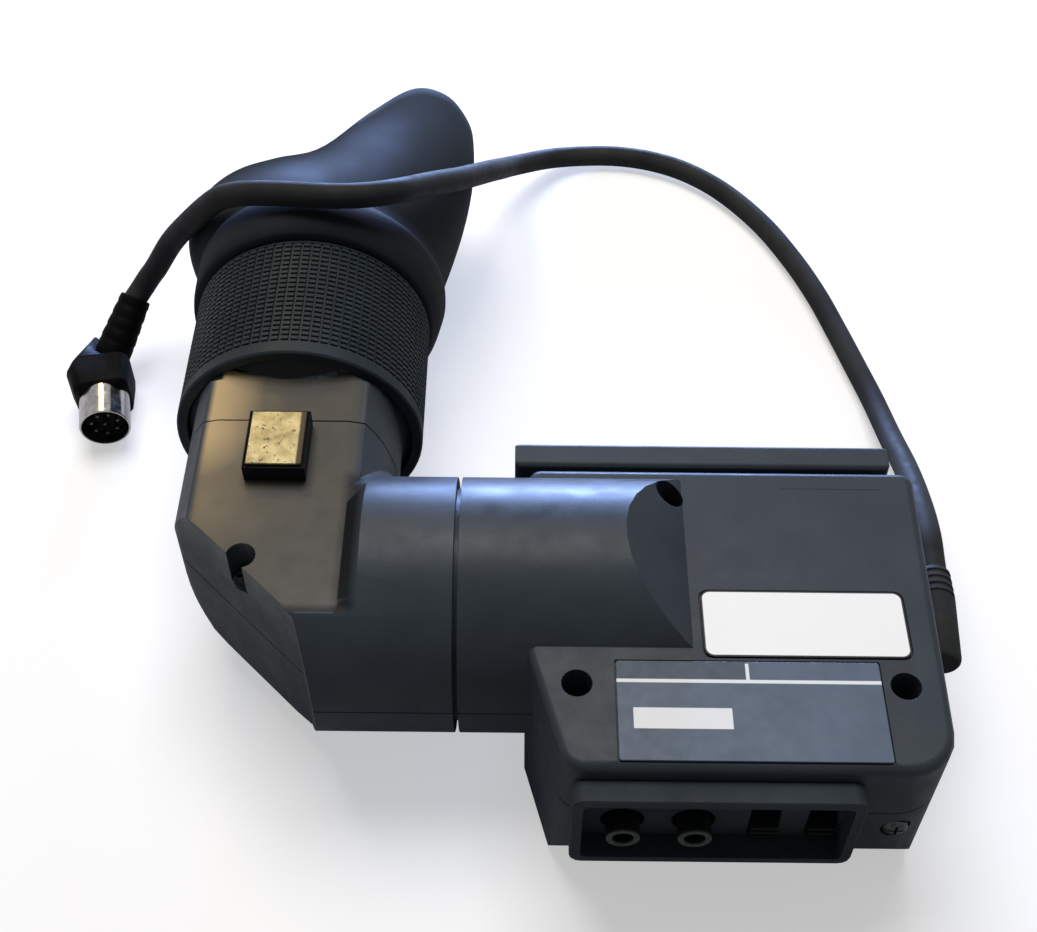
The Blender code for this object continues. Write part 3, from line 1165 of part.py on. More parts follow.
def elbow_shell(name, finish, upper):
    """One half of the elbow, with its mirror ledges, its screw post, and its share of spigot and hinge."""
    made = elbow_form(name, 0, finish)
    hollow = elbow_form(name + "_hollow", WALL)
    post = turned(name + "_post", [(0, ELBOW_BOSS_RADIUS), (BODY_HEIGHT * 2, ELBOW_BOSS_RADIUS)], ELBOW_WELL, "Z", None)
    cut(hollow, post)
    mirror_back = MIRROR_WALL / math.sqrt(2) - MIRROR_THICKNESS - GAP
    for side in (-1, 1):
        ledge = across_mirror(
            f"{name}_ledge", side * LEDGE_PLACE, LEDGE_WIDTH / 2, 0, mirror_back, TUBE_RADIUS
        )
        cut(hollow, ledge)
    cut(made, hollow)
    seam = -BODY_SIDE - TUBE_REACH - SEAM_GAP
    spigot = turned(
        name + "_spigot",
        [
            (seam - SPIGOT_ROOT, SPIGOT_RADIUS - SPIGOT_WALL),
            (seam - SPIGOT_ROOT, TUBE_RADIUS - WALL / 2),
            (seam - GAP, TUBE_RADIUS - WALL / 2),
            (seam - GAP, SPIGOT_RADIUS),
            (seam + SPIGOT_LENGTH, SPIGOT_RADIUS),
            (seam + SPIGOT_LENGTH, SPIGOT_RADIUS - SPIGOT_WALL),
        ],
        (0, AXIS_HEIGHT), "X", None, ROUND_SIDES, looped=True,
    )
    join(made, spigot)
    if not upper:
        top = AXIS_HEIGHT - NECK_HALF_HEIGHT + WALL / 2
        for side in (-1, 1):
            first = ELBOW_AXIS_X + side * (KNUCKLE_HALF + GAP)
            second = first + side * EAR_WIDTH
            low, high = sorted((first, second))
            ear = turned(
                f"{name}_ear", [(low, KNUCKLE_RADIUS), (high, KNUCKLE_RADIUS)], (FLIP_SEAM_Y, HINGE_HEIGHT), "X", None,
                SMALL_SIDES,
            )
            leg = block(
                f"{name}_ear_leg",
                (low + FLUSH, FLIP_SEAM_Y - KNUCKLE_LEG, HINGE_HEIGHT - KNUCKLE_RADIUS * 0.7),
                (high - FLUSH, FLIP_SEAM_Y - GAP, top),
            )
            join(made, leg, ear)
        cut(made, turned(
            name + "_pin_bore",
            [(ELBOW_AXIS_X - NECK_HALF_WIDTH, PIN_RADIUS + GAP), (ELBOW_AXIS_X + NECK_HALF_WIDTH, PIN_RADIUS + GAP)],
            (FLIP_SEAM_Y, HINGE_HEIGHT), "X", None, SMALL_SIDES,
        ))
    well, hole = well_tools(name + "_screw", ELBOW_WELL, ELBOW_WELL_SEAT, AXIS_HEIGHT + TUBE_RADIUS)
    cut(made, hole)
    far = ELBOW_AXIS_X * 2
    if upper:
        cut(made, well)
        stem_low, stem_high = catch_stem()
        slot = block(
            name + "_catch_slot",
            (stem_low[0] - GAP, stem_low[1] - CATCH_TRAVEL - GAP, AXIS_HEIGHT + NECK_HALF_HEIGHT - WALL - OVERRUN),
            (stem_high[0] + GAP, stem_high[1] + GAP, AXIS_HEIGHT + NECK_HALF_HEIGHT + OVERRUN),
        )
        cut(made, slot)
        away = ((far, far, -OVERRUN), (0, -far, AXIS_HEIGHT + GAP / 2))
    else:
        away = ((far, far, AXIS_HEIGHT - GAP / 2), (0, -far, AXIS_HEIGHT + TUBE_RADIUS + OVERRUN))
    cut(made, block(name + "_other_half", *away))
    return made


def catch_stem():
    """The lowest and highest corners of the catch's stem, which passes through the elbow's top."""
    middle = (CATCH_LEFT + CATCH_RIGHT) / 2
    top = AXIS_HEIGHT + NECK_HALF_HEIGHT
    far = CATCH_FAR - CATCH_STEM_SETBACK
    low = (middle - CATCH_STEM_WIDTH / 2, far - CATCH_STEM_LENGTH, top - CATCH_STEM_DROP)
    high = (middle + CATCH_STEM_WIDTH / 2, far, top + CATCH_HEIGHT / 2)
    return low, high


def catch(look, pivots):
    """The sliding catch with its brass plate, and the leaf spring under its stem."""
    bottom = AXIS_HEIGHT + NECK_HALF_HEIGHT + GAP
    top = bottom + CATCH_HEIGHT
    slab = block(
        "catch_slider", (CATCH_LEFT, CATCH_NEAR, bottom), (CATCH_RIGHT, CATCH_FAR, top), look["black"]
    )
    stem_low, stem_high = catch_stem()
    join(slab, block("catch_stem", stem_low, stem_high))
    edge = CATCH_PLATE_INSET
    recess = block(
        "catch_recess",
        (CATCH_LEFT + edge - GAP, CATCH_NEAR + edge - GAP, top - CATCH_PLATE),
        (CATCH_RIGHT - edge + GAP, CATCH_FAR - edge + GAP, top + OVERRUN),
    )
    cut(slab, recess)
    plate = block(
        "catch_plate",
        (CATCH_LEFT + edge, CATCH_NEAR + edge, top - CATCH_PLATE + GAP),
        (CATCH_RIGHT - edge, CATCH_FAR - edge, top + 2 * GAP),
        look["brass"],
    )
    for piece in (slab, plate):
        hang(piece, pivots["catch"])

    ceiling = AXIS_HEIGHT + NECK_HALF_HEIGHT - WALL - GAP
    under = stem_low[2] - GAP
    start = stem_low[1] - CATCH_TRAVEL - LEAF_REACH
    outline = [
        (start, ceiling - LEAF_THICKNESS), (start + LEAF_PAD, ceiling - LEAF_THICKNESS),
        (start + LEAF_PAD * 1.5, under - LEAF_THICKNESS), (stem_high[1], under - LEAF_THICKNESS),
        (stem_high[1], under), (start + LEAF_PAD * 1.7, under),
        (start + LEAF_PAD * 1.2, ceiling), (start, ceiling),
    ]
    middle = (CATCH_LEFT + CATCH_RIGHT) / 2
    levels = [(middle - LEAF_WIDTH / 2, outline), (middle + LEAF_WIDTH / 2, outline)]
    leaf = prism("catch_leaf_spring", "X", levels, look["bright"])
    hang(leaf, pivots["elbow"])


def elbow(look, pivots):
    """The elbow's two shells with the mirror, the screw, the retaining ring and the hinge pin."""
    pieces = [
        elbow_shell("elbow_upper_shell", look["shell"], True),
        elbow_shell("elbow_lower_shell", look["shell"], False),
    ]
    front = MIRROR_WALL / math.sqrt(2)
    pieces.append(
        across_mirror("mirror", 0, MIRROR_HALF_LENGTH, front - MIRROR_THICKNESS, front, MIRROR_HALF_HEIGHT, look["mirror"])
    )
    pieces.append(screw("elbow_screw", ELBOW_WELL, ELBOW_WELL_SEAT, SCREW_LENGTH, look["steel"]))
    start = -BODY_SIDE - TUBE_REACH - SEAM_GAP + SPIGOT_LENGTH + GAP
    ring = [
        (start, SPIGOT_RADIUS - SPIGOT_WALL * 2), (start, SPIGOT_RADIUS), (start + RETAINER_LENGTH, SPIGOT_RADIUS),
        (start + RETAINER_LENGTH, SPIGOT_RADIUS - SPIGOT_WALL * 2),
    ]
    pieces.append(
        turned("spigot_retainer", ring, (0, AXIS_HEIGHT), "X", look["bright"], ROUND_SIDES, looped=True)
    )
    half = KNUCKLE_HALF + EAR_WIDTH
    pin = [(ELBOW_AXIS_X - half, PIN_RADIUS), (ELBOW_AXIS_X + half, PIN_RADIUS)]
    pieces.append(turned("hinge_pin", pin, (FLIP_SEAM_Y, HINGE_HEIGHT), "X", look["bright"], SMALL_SIDES))
    for piece in pieces:
        hang(piece, pivots["elbow"])


def eyepiece_ring(y, depth):
    """One section of the eyepiece's neck: round with flats, whose flats rise on the cone."""
    cap = TUBE_RADIUS
    if y > NECK_FACE_Y:
        cap = SLEEVE_RADIUS + GAP
    climb = max(0.0, (y - NECK_FACE_Y) / CONE_LENGTH)
    cone = NECK_HALF_HEIGHT + (SLEEVE_RADIUS - NECK_HALF_HEIGHT) * min(1.0, climb)
    places = []
    for a, b in neck_ring(TUBE_RADIUS, NECK_HALF_WIDTH, NECK_HALF_HEIGHT):
        reach = min(max(math.hypot(a, b), cone), cap) - depth
        scale = reach / math.hypot(a, b)
        places.append((ELBOW_AXIS_X + a * scale, y, AXIS_HEIGHT + b * scale))
    return places


def eyepiece_base(look, pivots):
    """The part that flips open: its neck, its cone, and the sleeve for the ring and the lenses."""
    start = FLIP_SEAM_Y + GAP
    cone_end = NECK_FACE_Y + CONE_LENGTH
    outer = [eyepiece_ring(start, 0), eyepiece_ring(NECK_FACE_Y, 0)]
    for step in range(1, 4):
        outer.append(eyepiece_ring(NECK_FACE_Y + CONE_LENGTH * step / 3, 0))
    centre = (ELBOW_AXIS_X, AXIS_HEIGHT)

    def round_ring(y, radius):
        return [(centre[0] + a, y, centre[1] + b) for a, b in circle(radius, ROUND_SIDES)]

    inner_radius = SLEEVE_RADIUS - SLEEVE_WALL
    rings = [
        *outer,
        round_ring(cone_end + GAP, SLEEVE_RADIUS),
        round_ring(SLEEVE_END_Y, SLEEVE_RADIUS),
        round_ring(SLEEVE_END_Y, inner_radius),
        round_ring(cone_end, inner_radius),
        eyepiece_ring(NECK_FACE_Y - GAP, WALL * 1.6),
        eyepiece_ring(start, WALL),
    ]
    base = loft("eyepiece_base", rings, look["shell"], looped=True)
    knuckle = turned(
        "eyepiece_knuckle",
        [(ELBOW_AXIS_X - KNUCKLE_HALF, KNUCKLE_RADIUS), (ELBOW_AXIS_X + KNUCKLE_HALF, KNUCKLE_RADIUS)],
        (FLIP_SEAM_Y, HINGE_HEIGHT), "X", None, SMALL_SIDES,
    )
    leg = block(
        "eyepiece_knuckle_leg",
        (ELBOW_AXIS_X - KNUCKLE_HALF + FLUSH, start, HINGE_HEIGHT - KNUCKLE_RADIUS * 0.7),
        (ELBOW_AXIS_X + KNUCKLE_HALF - FLUSH, start + KNUCKLE_LEG, AXIS_HEIGHT - NECK_HALF_HEIGHT + WALL / 2),
    )
    join(base, leg, knuckle)
    bore = [(ELBOW_AXIS_X - NECK_HALF_WIDTH, PIN_RADIUS + GAP), (ELBOW_AXIS_X + NECK_HALF_WIDTH, PIN_RADIUS + GAP)]
    cut(base, turned("eyepiece_pin_bore", bore, (FLIP_SEAM_Y, HINGE_HEIGHT), "X", None, SMALL_SIDES))
    hang(base, pivots["eyepiece"])


def focus_ring(look, pivots):
    """The ring that turns on the sleeve: a smooth bezel, then rows of grip."""
    inner = SLEEVE_RADIUS + GAP
    grip = RING_RADIUS - RING_GRIP_SINK
    start = RING_START_Y + RING_BEZEL
    pitch = (RING_END_Y - start) / RING_GRIP_ROWS
    profile = [
        (RING_START_Y, inner + GAP), (RING_START_Y, RING_RADIUS - 2 * GAP),
        (RING_START_Y + 2 * GAP, RING_RADIUS), (start, RING_RADIUS),
    ]
    for row in range(RING_GRIP_ROWS):
        low = start + row * pitch
        profile += [(low, grip), (low + pitch * 0.4, grip), (low + pitch * 0.4, RING_RADIUS), (low + pitch, RING_RADIUS)]
    profile.append((RING_END_Y, inner))
    ring = turned(
        "focus_ring", profile, (ELBOW_AXIS_X, AXIS_HEIGHT), "Y", look["panel"], ROUND_SIDES, looped=True
    )
    hang(ring, pivots["focus_ring"])


def lens_cell(look, pivots):
    """The barrel that slides in the sleeve, with two lenses and the ring that keeps them in."""
    centre = (ELBOW_AXIS_X, AXIS_HEIGHT)
    outer = SLEEVE_RADIUS - SLEEVE_WALL - GAP
    inner = outer - BARREL_WALL
    end = BARREL_START_Y + BARREL_LENGTH
    stop = inner - BARREL_WALL / 2
    first = BARREL_START_Y + BARREL_WALL
    barrel = [
        (BARREL_START_Y, stop), (BARREL_START_Y, outer), (end, outer), (end, inner), (first, inner), (first, stop)
    ]
    pieces = [turned("lens_barrel", barrel, centre, "Y", look["black"], ROUND_SIDES, looped=True)]
    edge = inner - GAP
    front = first + GAP
    rear = end - LENS_RETAINER - GAP - LENS_EDGE
    for name, start in (("rear_lens", front), ("front_lens", rear)):
        stops = ((-1.0, 0.3), (-0.6, 0.62), (0.0, 0.86), (0.0, 1.0))
        profile = [(start + share * LENS_CROWN, edge * reach) for share, reach in stops]
        profile += [(start + LENS_EDGE - share * LENS_CROWN, edge * reach) for share, reach in reversed(stops)]
        pieces.append(turned(name, profile, centre, "Y", look["glass"], PART_SIDES))
    spacer = [
        (front + LENS_EDGE + GAP, edge - BARREL_WALL / 2), (front + LENS_EDGE + GAP, edge),
        (rear - GAP, edge), (rear - GAP, edge - BARREL_WALL / 2),
    ]
    pieces.append(turned("lens_spacer", spacer, centre, "Y", look["black"], PART_SIDES, looped=True))
    keep = rear + LENS_EDGE + GAP
    retainer = [
        (keep, edge - BARREL_WALL), (keep, edge), (keep + LENS_RETAINER, edge), (keep + LENS_RETAINER, edge - BARREL_WALL)
    ]
    pieces.append(turned("lens_retainer", retainer, centre, "Y", look["black"], PART_SIDES, looped=True))
    for piece in pieces:
        hang(piece, pivots["lens_cell"])


def lobe_share(turn):
    """How far the rim reaches out at a turn from the long lobe, on a smooth curve through its shares."""
    steps = len(CUP_LOBE_SHARES) - 1
    place = abs((turn + math.pi) % (2 * math.pi) - math.pi) / math.pi * steps
    index = min(int(place), steps - 1)
    before, start, end, after = (
        CUP_LOBE_SHARES[min(abs(index + offset), 2 * steps - index - offset)] for offset in (-1, 0, 1, 2)
    )
    t = place - index
    return 0.5 * (2 * start + (end - before) * t + (2 * before - 5 * start + 4 * end - after) * t**2
                  + (3 * start - before - 3 * end + after) * t**3)


def cup_place(turn, share, depth):
    """A point of the eyecup: turn goes round from the long lobe, share from the collar to the rim."""
    near = CUP_RIM_NEAR_Y
    rim_y = near + (CUP_RIM_FAR_Y - near) * lobe_share(turn)
    half_width = CUP_RIM_RIGHT if math.cos(turn) > 0 else CUP_RIM_LEFT
    swell = math.sin(math.pi * CUP_SWELL_SHARE * share)
    narrowing = share * share * (3 - 2 * share)
    wide = CUP_WAIST_RADIUS + (half_width - CUP_WAIST_RADIUS) * swell
    tall = CUP_WAIST_RADIUS + (CUP_RIM_HALF_HEIGHT - CUP_WAIST_RADIUS) * narrowing
    y = COLLAR_END_Y + (rim_y - COLLAR_END_Y) * share
    return (
        ELBOW_AXIS_X + (wide - depth) * math.cos(turn),
        y,
        AXIS_HEIGHT + (tall - depth) * math.sin(turn),
    )


def eyecup(look, pivots):
    """The rubber cup: a bulged collar that grips its ring, and a lobe that reaches out to one side."""
    centre = (ELBOW_AXIS_X, AXIS_HEIGHT)
    sides = ROUND_SIDES
    turns = [2 * math.pi * (step + 0.5) / sides for step in range(sides)]

    def round_ring(y, radius):
        return [(centre[0] + a, y, centre[1] + b) for a, b in circle(radius, sides)]

    def collar_ring(y, radius, slack):
        places = []
        for a, b in circle(radius, sides):
            share = 1 - slack / radius * min(0.0, a / radius) ** 2
            places.append((centre[0] + a * share, y, centre[1] + b * share))
        return places

    bulge = (COLLAR_END_Y - COLLAR_START_Y) / 6
    grip = CUP_RING_RADIUS + GAP
    rings = [
        round_ring(COLLAR_START_Y, grip),
        collar_ring(COLLAR_START_Y, COLLAR_RADIUS - bulge / 2, COLLAR_SLACK - bulge / 2),
        collar_ring(COLLAR_START_Y + bulge, COLLAR_RADIUS, COLLAR_SLACK),
        collar_ring(COLLAR_END_Y - bulge * 2, COLLAR_RADIUS, COLLAR_SLACK - bulge / 3),
        collar_ring(COLLAR_END_Y - bulge / 2, CUP_WAIST_RADIUS + bulge / 3, bulge / 3),
    ]
    for step in range(CUP_STEPS + 1):
        rings.append([cup_place(turn, step / CUP_STEPS, 0) for turn in turns])
    for step in range(CUP_STEPS, 0, -2):
        rings.append([cup_place(turn, step / CUP_STEPS, CUP_WALL) for turn in turns])
    throat = CUP_RING_RADIUS - CUP_WALL / 2
    rings.append(round_ring(COLLAR_END_Y, throat))
    rings.append(round_ring(CUP_RING_END_Y + GAP, throat))
    rings.append(round_ring(CUP_RING_END_Y + GAP, grip))
    cup = loft("eyecup", rings, look["rubber"], looped=True)
    ring = [
        (RING_END_Y + GAP, SLEEVE_RADIUS + GAP), (RING_END_Y + GAP, CUP_RING_RADIUS),
        (CUP_RING_END_Y, CUP_RING_RADIUS), (CUP_RING_END_Y, SLEEVE_RADIUS + GAP),
    ]
    holder = turned("eyecup_ring", ring, centre, "Y", look["black"], ROUND_SIDES, looped=True)
    for piece in (cup, holder):
        hang(piece, pivots["eyepiece"])


def hang(piece, pivot):
    """Makes a piece, and the guides that shape it, follow the empty on its joint's axis."""
    for follower in [piece, *[change.object for change in piece.modifiers if change.type == "BOOLEAN"]]:
        follower.parent = pivot
        follower.matrix_parent_inverse = Matrix.Translation(-world_place(pivot))


def world_place(pivot):
    """The pivot's place, which is the sum of its own and its parents' locations."""
    place = Vector(pivot.location)
    while pivot.parent:
        pivot = pivot.parent
        place += pivot.location
    return place


def joint_pivots():
    """Empties on the joints' axes, each under the body that carries it."""
    seam = -BODY_SIDE - TUBE_REACH
    middle = (WINDOW_BOTTOM + WINDOW_TOP) / 2
    catch_middle = (CATCH_LEFT + CATCH_RIGHT) / 2
    plan = [
        ("elbow", None, (seam, 0, AXIS_HEIGHT)),
        ("catch", "elbow", (catch_middle, CATCH_NEAR, AXIS_HEIGHT + NECK_HALF_HEIGHT)),
        ("eyepiece", "elbow", (ELBOW_AXIS_X, FLIP_SEAM_Y, HINGE_HEIGHT)),
        ("focus_ring", "eyepiece", (ELBOW_AXIS_X, RING_START_Y, AXIS_HEIGHT)),
        ("lens_cell", "eyepiece", (ELBOW_AXIS_X, BARREL_START_Y, AXIS_HEIGHT)),
    ]
    plan += [(key + "_knob", None, (x, -BODY_FRONT, KNOB_HEIGHT)) for key, x in KNOB_PLACES.items()]
    plan += [(key + "_switch", None, (x, -BODY_FRONT, middle)) for key, x in SWITCH_PLACES.items()]
    pivots = {}
    for name, parent, place in plan:
        pivot = bpy.data.objects.new(name + "_pivot", None)
        bpy.context.collection.objects.link(pivot)
        pivot.location = place
        if parent:
            pivot.parent = pivots[parent]
            pivot.location = Vector(place) - world_place(pivots[parent])
        pivots[name] = pivot
    return pivots


def weld_seams():
    """Merges the doubled points that a cut can leave along a seam."""
    for piece in bpy.data.objects:
        if piece.modifiers and not piece.hide_render:
            weld = piece.modifiers.new("weld", "WELD")
            weld.merge_threshold = FLUSH / 100


def build():
    for existing in list(bpy.data.objects):
        bpy.data.objects.remove(existing, do_unlink=True)
    look = finishes()
    pivots = joint_pivots()
    shell("upper_shell", look["shell"], True)
    shell("lower_shell", look["shell"], False)
    for name, place in WELL_PLACES.items():
        screw(name, place, WELL_SEAT, SCREW_LENGTH, look["steel"])
    front_place = (FRONT_SCREW_X, FRONT_SCREW_Z)
    screw(
        "front_screw", front_place, -BODY_FRONT + FRONT_SCREW_SINK, FRONT_SCREW_LENGTH, look["steel"], "Y", -1
    )
    labels(look)
    control_panel(look)
    controls(look, pivots)
    main_board(look)
    picture_tube(look)
    slide_rail(look)
    elbow(look, pivots)
    catch(look, pivots)
    eyepiece_base(look, pivots)
    focus_ring(look, pivots)
    lens_cell(look, pivots)
    eyecup(look, pivots)
    strain_relief(look)
    cable(look)
    plug(look)
    weld_seams()


build()
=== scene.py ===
"""Looks of the electronic viewfinder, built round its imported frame. Lengths are in metres, but those of patterns and
marks in materials are in millimetres."""

import json
import math

import bmesh
import bpy
from mathutils import Matrix, Vector


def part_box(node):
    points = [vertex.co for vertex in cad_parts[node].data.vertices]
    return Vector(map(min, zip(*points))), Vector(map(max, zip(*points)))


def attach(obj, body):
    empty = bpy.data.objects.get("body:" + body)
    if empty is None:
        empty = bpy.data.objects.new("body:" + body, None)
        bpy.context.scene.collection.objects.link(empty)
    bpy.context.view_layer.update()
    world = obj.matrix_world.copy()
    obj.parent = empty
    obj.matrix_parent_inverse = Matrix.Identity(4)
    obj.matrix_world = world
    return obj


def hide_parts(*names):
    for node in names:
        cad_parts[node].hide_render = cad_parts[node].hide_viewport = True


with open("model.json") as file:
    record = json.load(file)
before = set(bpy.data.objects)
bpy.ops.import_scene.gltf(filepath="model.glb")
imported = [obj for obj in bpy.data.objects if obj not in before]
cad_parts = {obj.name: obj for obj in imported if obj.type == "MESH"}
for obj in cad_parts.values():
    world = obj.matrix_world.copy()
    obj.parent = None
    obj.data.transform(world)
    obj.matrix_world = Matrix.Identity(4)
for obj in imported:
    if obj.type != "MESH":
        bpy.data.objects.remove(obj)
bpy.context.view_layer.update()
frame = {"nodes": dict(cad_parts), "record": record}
NODES = frame["nodes"]

# The photograph's camera, with its focal length in pixels
PHOTO_WIDTH = 1037
PHOTO_FOCAL_LENGTH = 1532
SENSOR_WIDTH = 36.0
CAMERA_PLACE = (-0.045, -0.1942, 0.3125)
CAMERA_LOOK = (0.0, 0.64279, -0.76604)
CAMERA_ROLL = math.radians(-0.6)
CAMERA_RANGE = (0.01, 20.0)

# The studio. A lamp has a place, a point it aims at, a size, a power and a colour.
TABLE_SIZE = 6
TABLE_GLOW = 0.48
AIR_LEVEL = 0.14
MIRRORED_SHARE = 0.4
LAMPS = (
    ("overhead_softbox", (-0.12, 0.42, 1.16), (0.0, 0.05, 0.0), (0.8, 0.6), 11.2, "#ffffff"),
    ("cool_window", (-0.06, 1.20, 0.11), (-0.03, 0.0, 0.05), (0.6, 0.06), 32.0, "#9dbcff"),
    ("warm_lamp", (-0.36, 0.76, 0.80), (-0.10, 0.03, 0.05), (0.22, 0.22), 1.5, "#ffd9a2"),
)

# Sockets of a colour mix, its setting, and the spans of noise that give a tone and a sheen their full range
SHARE, UNDER, OVER = 0, 6, 7
RGBA = {"data_type": "RGBA"}
TONE_SPAN = {"From Min": 0.35, "From Max": 0.65}
SHEEN_SPAN = {"From Min": 0.35, "From Max": 0.7}

# Flat marks: a shade, left, right, near, far, corner, softness and share
SHELL_MARKS = (
    ("#171a1d", 12.8, 35.0, 19.7, 20.0, 0.1, 0.08, 0.8),
)
PLATE_MARKS = (
    ("#47525f", -25.2, 1.0, -29.9, -25.2, 0.1, 0.1, 1.0),
    ("#e9ebee", -25.2, 28.2, -30.5, -29.7, 0.1, 0.08, 1.0),
    ("#e9ebee", 1.0, 1.7, -29.9, -25.9, 0.1, 0.08, 1.0),
    ("#e9ebee", -21.9, -2.4, -41.0, -36.3, 0.1, 0.08, 1.0),
)
STICKER_MARKS = (
    ("#fafaf8", -6.5, 34.9, -23.8, -8.3, 1.7, 0.08, 1.0),
)
# Painted warm sheen over the elbow's flat top and in its left corner, and painted highlights along two of its edges
PAINTED_SHEEN_AND_HIGHLIGHT_MARKS = (
    ("#8f7f60", -126.0, -106.0, 2.0, 66.0, 9.0, 9.0, 0.55),
    ("#cdb182", -126.0, -110.0, 24.0, 66.0, 7.0, 7.0, 0.95),
    ("#c9c6ba", -80.2, -79.7, 34.2, 49.0, 0.1, 0.15, 0.9),
    ("#d2d0c8", -90.2, -82.4, -17.9, -17.4, 0.1, 0.2, 0.9),
)
# Painted shade in the cove between the elbow's flat top and the tube
PAINTED_COVE_SHADE_MARKS = (
    ("#0b0d0f", -82.4, -78.6, -17.0, 19.0, 1.2, 1.1, 0.9),
)

# The elbow's flat top: its area in millimetres, and the heights between which it lies
FLAT_AREA = (-126.0, -79.6, -18.0, 66.0, 0.1, 0.1)
FLAT_FROM = {"From Min": 0.0549, "From Max": 0.0552}
FLAT_TO = {"From Min": 0.0556, "From Max": 0.0559}

# The flat's curved back edge, behind which shade is painted: its middle, half width, bow and place
NECK_MIDDLE, NECK_HALF_WIDTH, NECK_BOW = -0.0985, 0.0145, 0.0034
NECK_BOW_LIMIT = 1.1
NECK_EDGE = {"From Min": 0.0465, "From Max": 0.0467}

# Heights between which the mould's grain is worn off
GRAIN_WORN = {"From Min": 0.042, "From Max": 0.053}

# The brass plate's rounded right side, where a dark reflection is painted, across the plate
BRASS_PAINTED_REFLECTION = {"From Min": -0.0931, "From Max": -0.0927}

# The knobs' open ends, and the depths between which their rubbed face ends
KNOB_FACE = -0.0540
KNOB_HEIGHT = 0.0295
KNOB_RUBBED = {"From Min": KNOB_FACE + 0.0001, "From Max": KNOB_FACE + 0.0005}

# The eyepiece's axis, which lies along Y
AXIS_X = -0.0977
AXIS_Z = 0.0335

# The plug: the middle of its open face, the way that it points from there, and where its body is widest and ends
PLUG_FACE = Vector((-0.1542, 0.0726, 0.0085))
PLUG_TURN = math.radians(11)
PLUG_WAY = Vector((-math.sin(PLUG_TURN), math.cos(PLUG_TURN), 0))
PLUG_WAIST = 0.0165
PLUG_WAIST_TO_BOOT = 0.0120
PLUG_WAIST_TO_SHELL = 0.0070
PLUG_LEFT_SHARES = {"shell": 0.80, "waist": 1.04, "boot": 0.46}
PLUG_RIGHT_SHARES = {"shell": 0.78, "waist": 0.86, "boot": 0.88}
PLUG_HEIGHT_LOSS_SHARE = 0.1
BOOT_ROOT = Vector((-0.1572, 0.0970, 0.0088))
BOOT_TIP = Vector((-0.1504, 0.1104, 0.0196))

RELIEF_ROOT = Vector((0.0474, -0.0126, 0.0305))
RELIEF_TIP = Vector((0.0495, 0.0117, 0.0305))
RELIEF_FOOT_LOW = (-0.0112, 0.0265)
RELIEF_FOOT_HIGH = (0.0478, -0.0018, 0.0345)

CORD_DIAMETER = 0.0062
CORD_ROUTE = [
    (0.0495, 0.0120, 0.0305),
    (0.0497, 0.0155, 0.0305),
    (0.0502, 0.0230, 0.0301),
    (0.0511, 0.0350, 0.0262),
    (0.0526, 0.0529, 0.0175),
    (0.0530, 0.0729, 0.0080),
    (0.0516, 0.0893, 0.0040),
    (0.0486, 0.1028, 0.0034),
    (0.0453, 0.1159, 0.0034),
    (0.0411, 0.1313, 0.0034),
    (0.0355, 0.1466, 0.0034),
    (0.0279, 0.1623, 0.0034),
    (0.0177, 0.1766, 0.0034),
    (0.0071, 0.1861, 0.0034),
    (-0.0035, 0.1914, 0.0034),
    (-0.0144, 0.1938, 0.0034),
    (-0.0255, 0.1933, 0.0038),
    (-0.0367, 0.1880, 0.0068),
    (-0.0476, 0.1743, 0.0150),
    (-0.0510, 0.1596, 0.0258),
    (-0.0543, 0.1450, 0.0366),
    (-0.0612, 0.1245, 0.0508),
    (-0.0683, 0.1115, 0.0596),
    (-0.0748, 0.0998, 0.0672),
    (-0.0815, 0.0947, 0.0700),
    (-0.0886, 0.0931, 0.0708),
    (-0.0959, 0.0933, 0.0708),
    (-0.1041, 0.0950, 0.0698),
    (-0.1116, 0.0971, 0.0680),
    (-0.1166, 0.0994, 0.0654),
    (-0.1213, 0.1020, 0.0615),
    (-0.1290, 0.1065, 0.0516),
    (-0.1373, 0.1116, 0.0393),
    (-0.1437, 0.1133, 0.0283),
    (-0.1463, 0.1133, 0.0246),
    (-0.1486, 0.1122, 0.0215),
    (-0.1507, 0.1101, 0.0193),
]


# Camera, floor and light


def place_camera():
    """The photograph's view: 50 degrees down on the label face, with a slight roll."""
    lens = bpy.data.cameras.new("photo_camera")
    lens.sensor_width = SENSOR_WIDTH
    lens.lens = SENSOR_WIDTH * PHOTO_FOCAL_LENGTH / PHOTO_WIDTH
    lens.clip_start, lens.clip_end = CAMERA_RANGE
    camera = bpy.data.objects.new("photo_camera", lens)
    bpy.context.collection.objects.link(camera)
    look = Vector(CAMERA_LOOK)
    turn = look.to_track_quat("-Z", "Y").to_matrix().to_4x4()
    roll = Matrix.Rotation(CAMERA_ROLL, 4, look)
    camera.matrix_world = Matrix.Translation(CAMERA_PLACE) @ roll @ turn
    bpy.context.scene.camera = camera


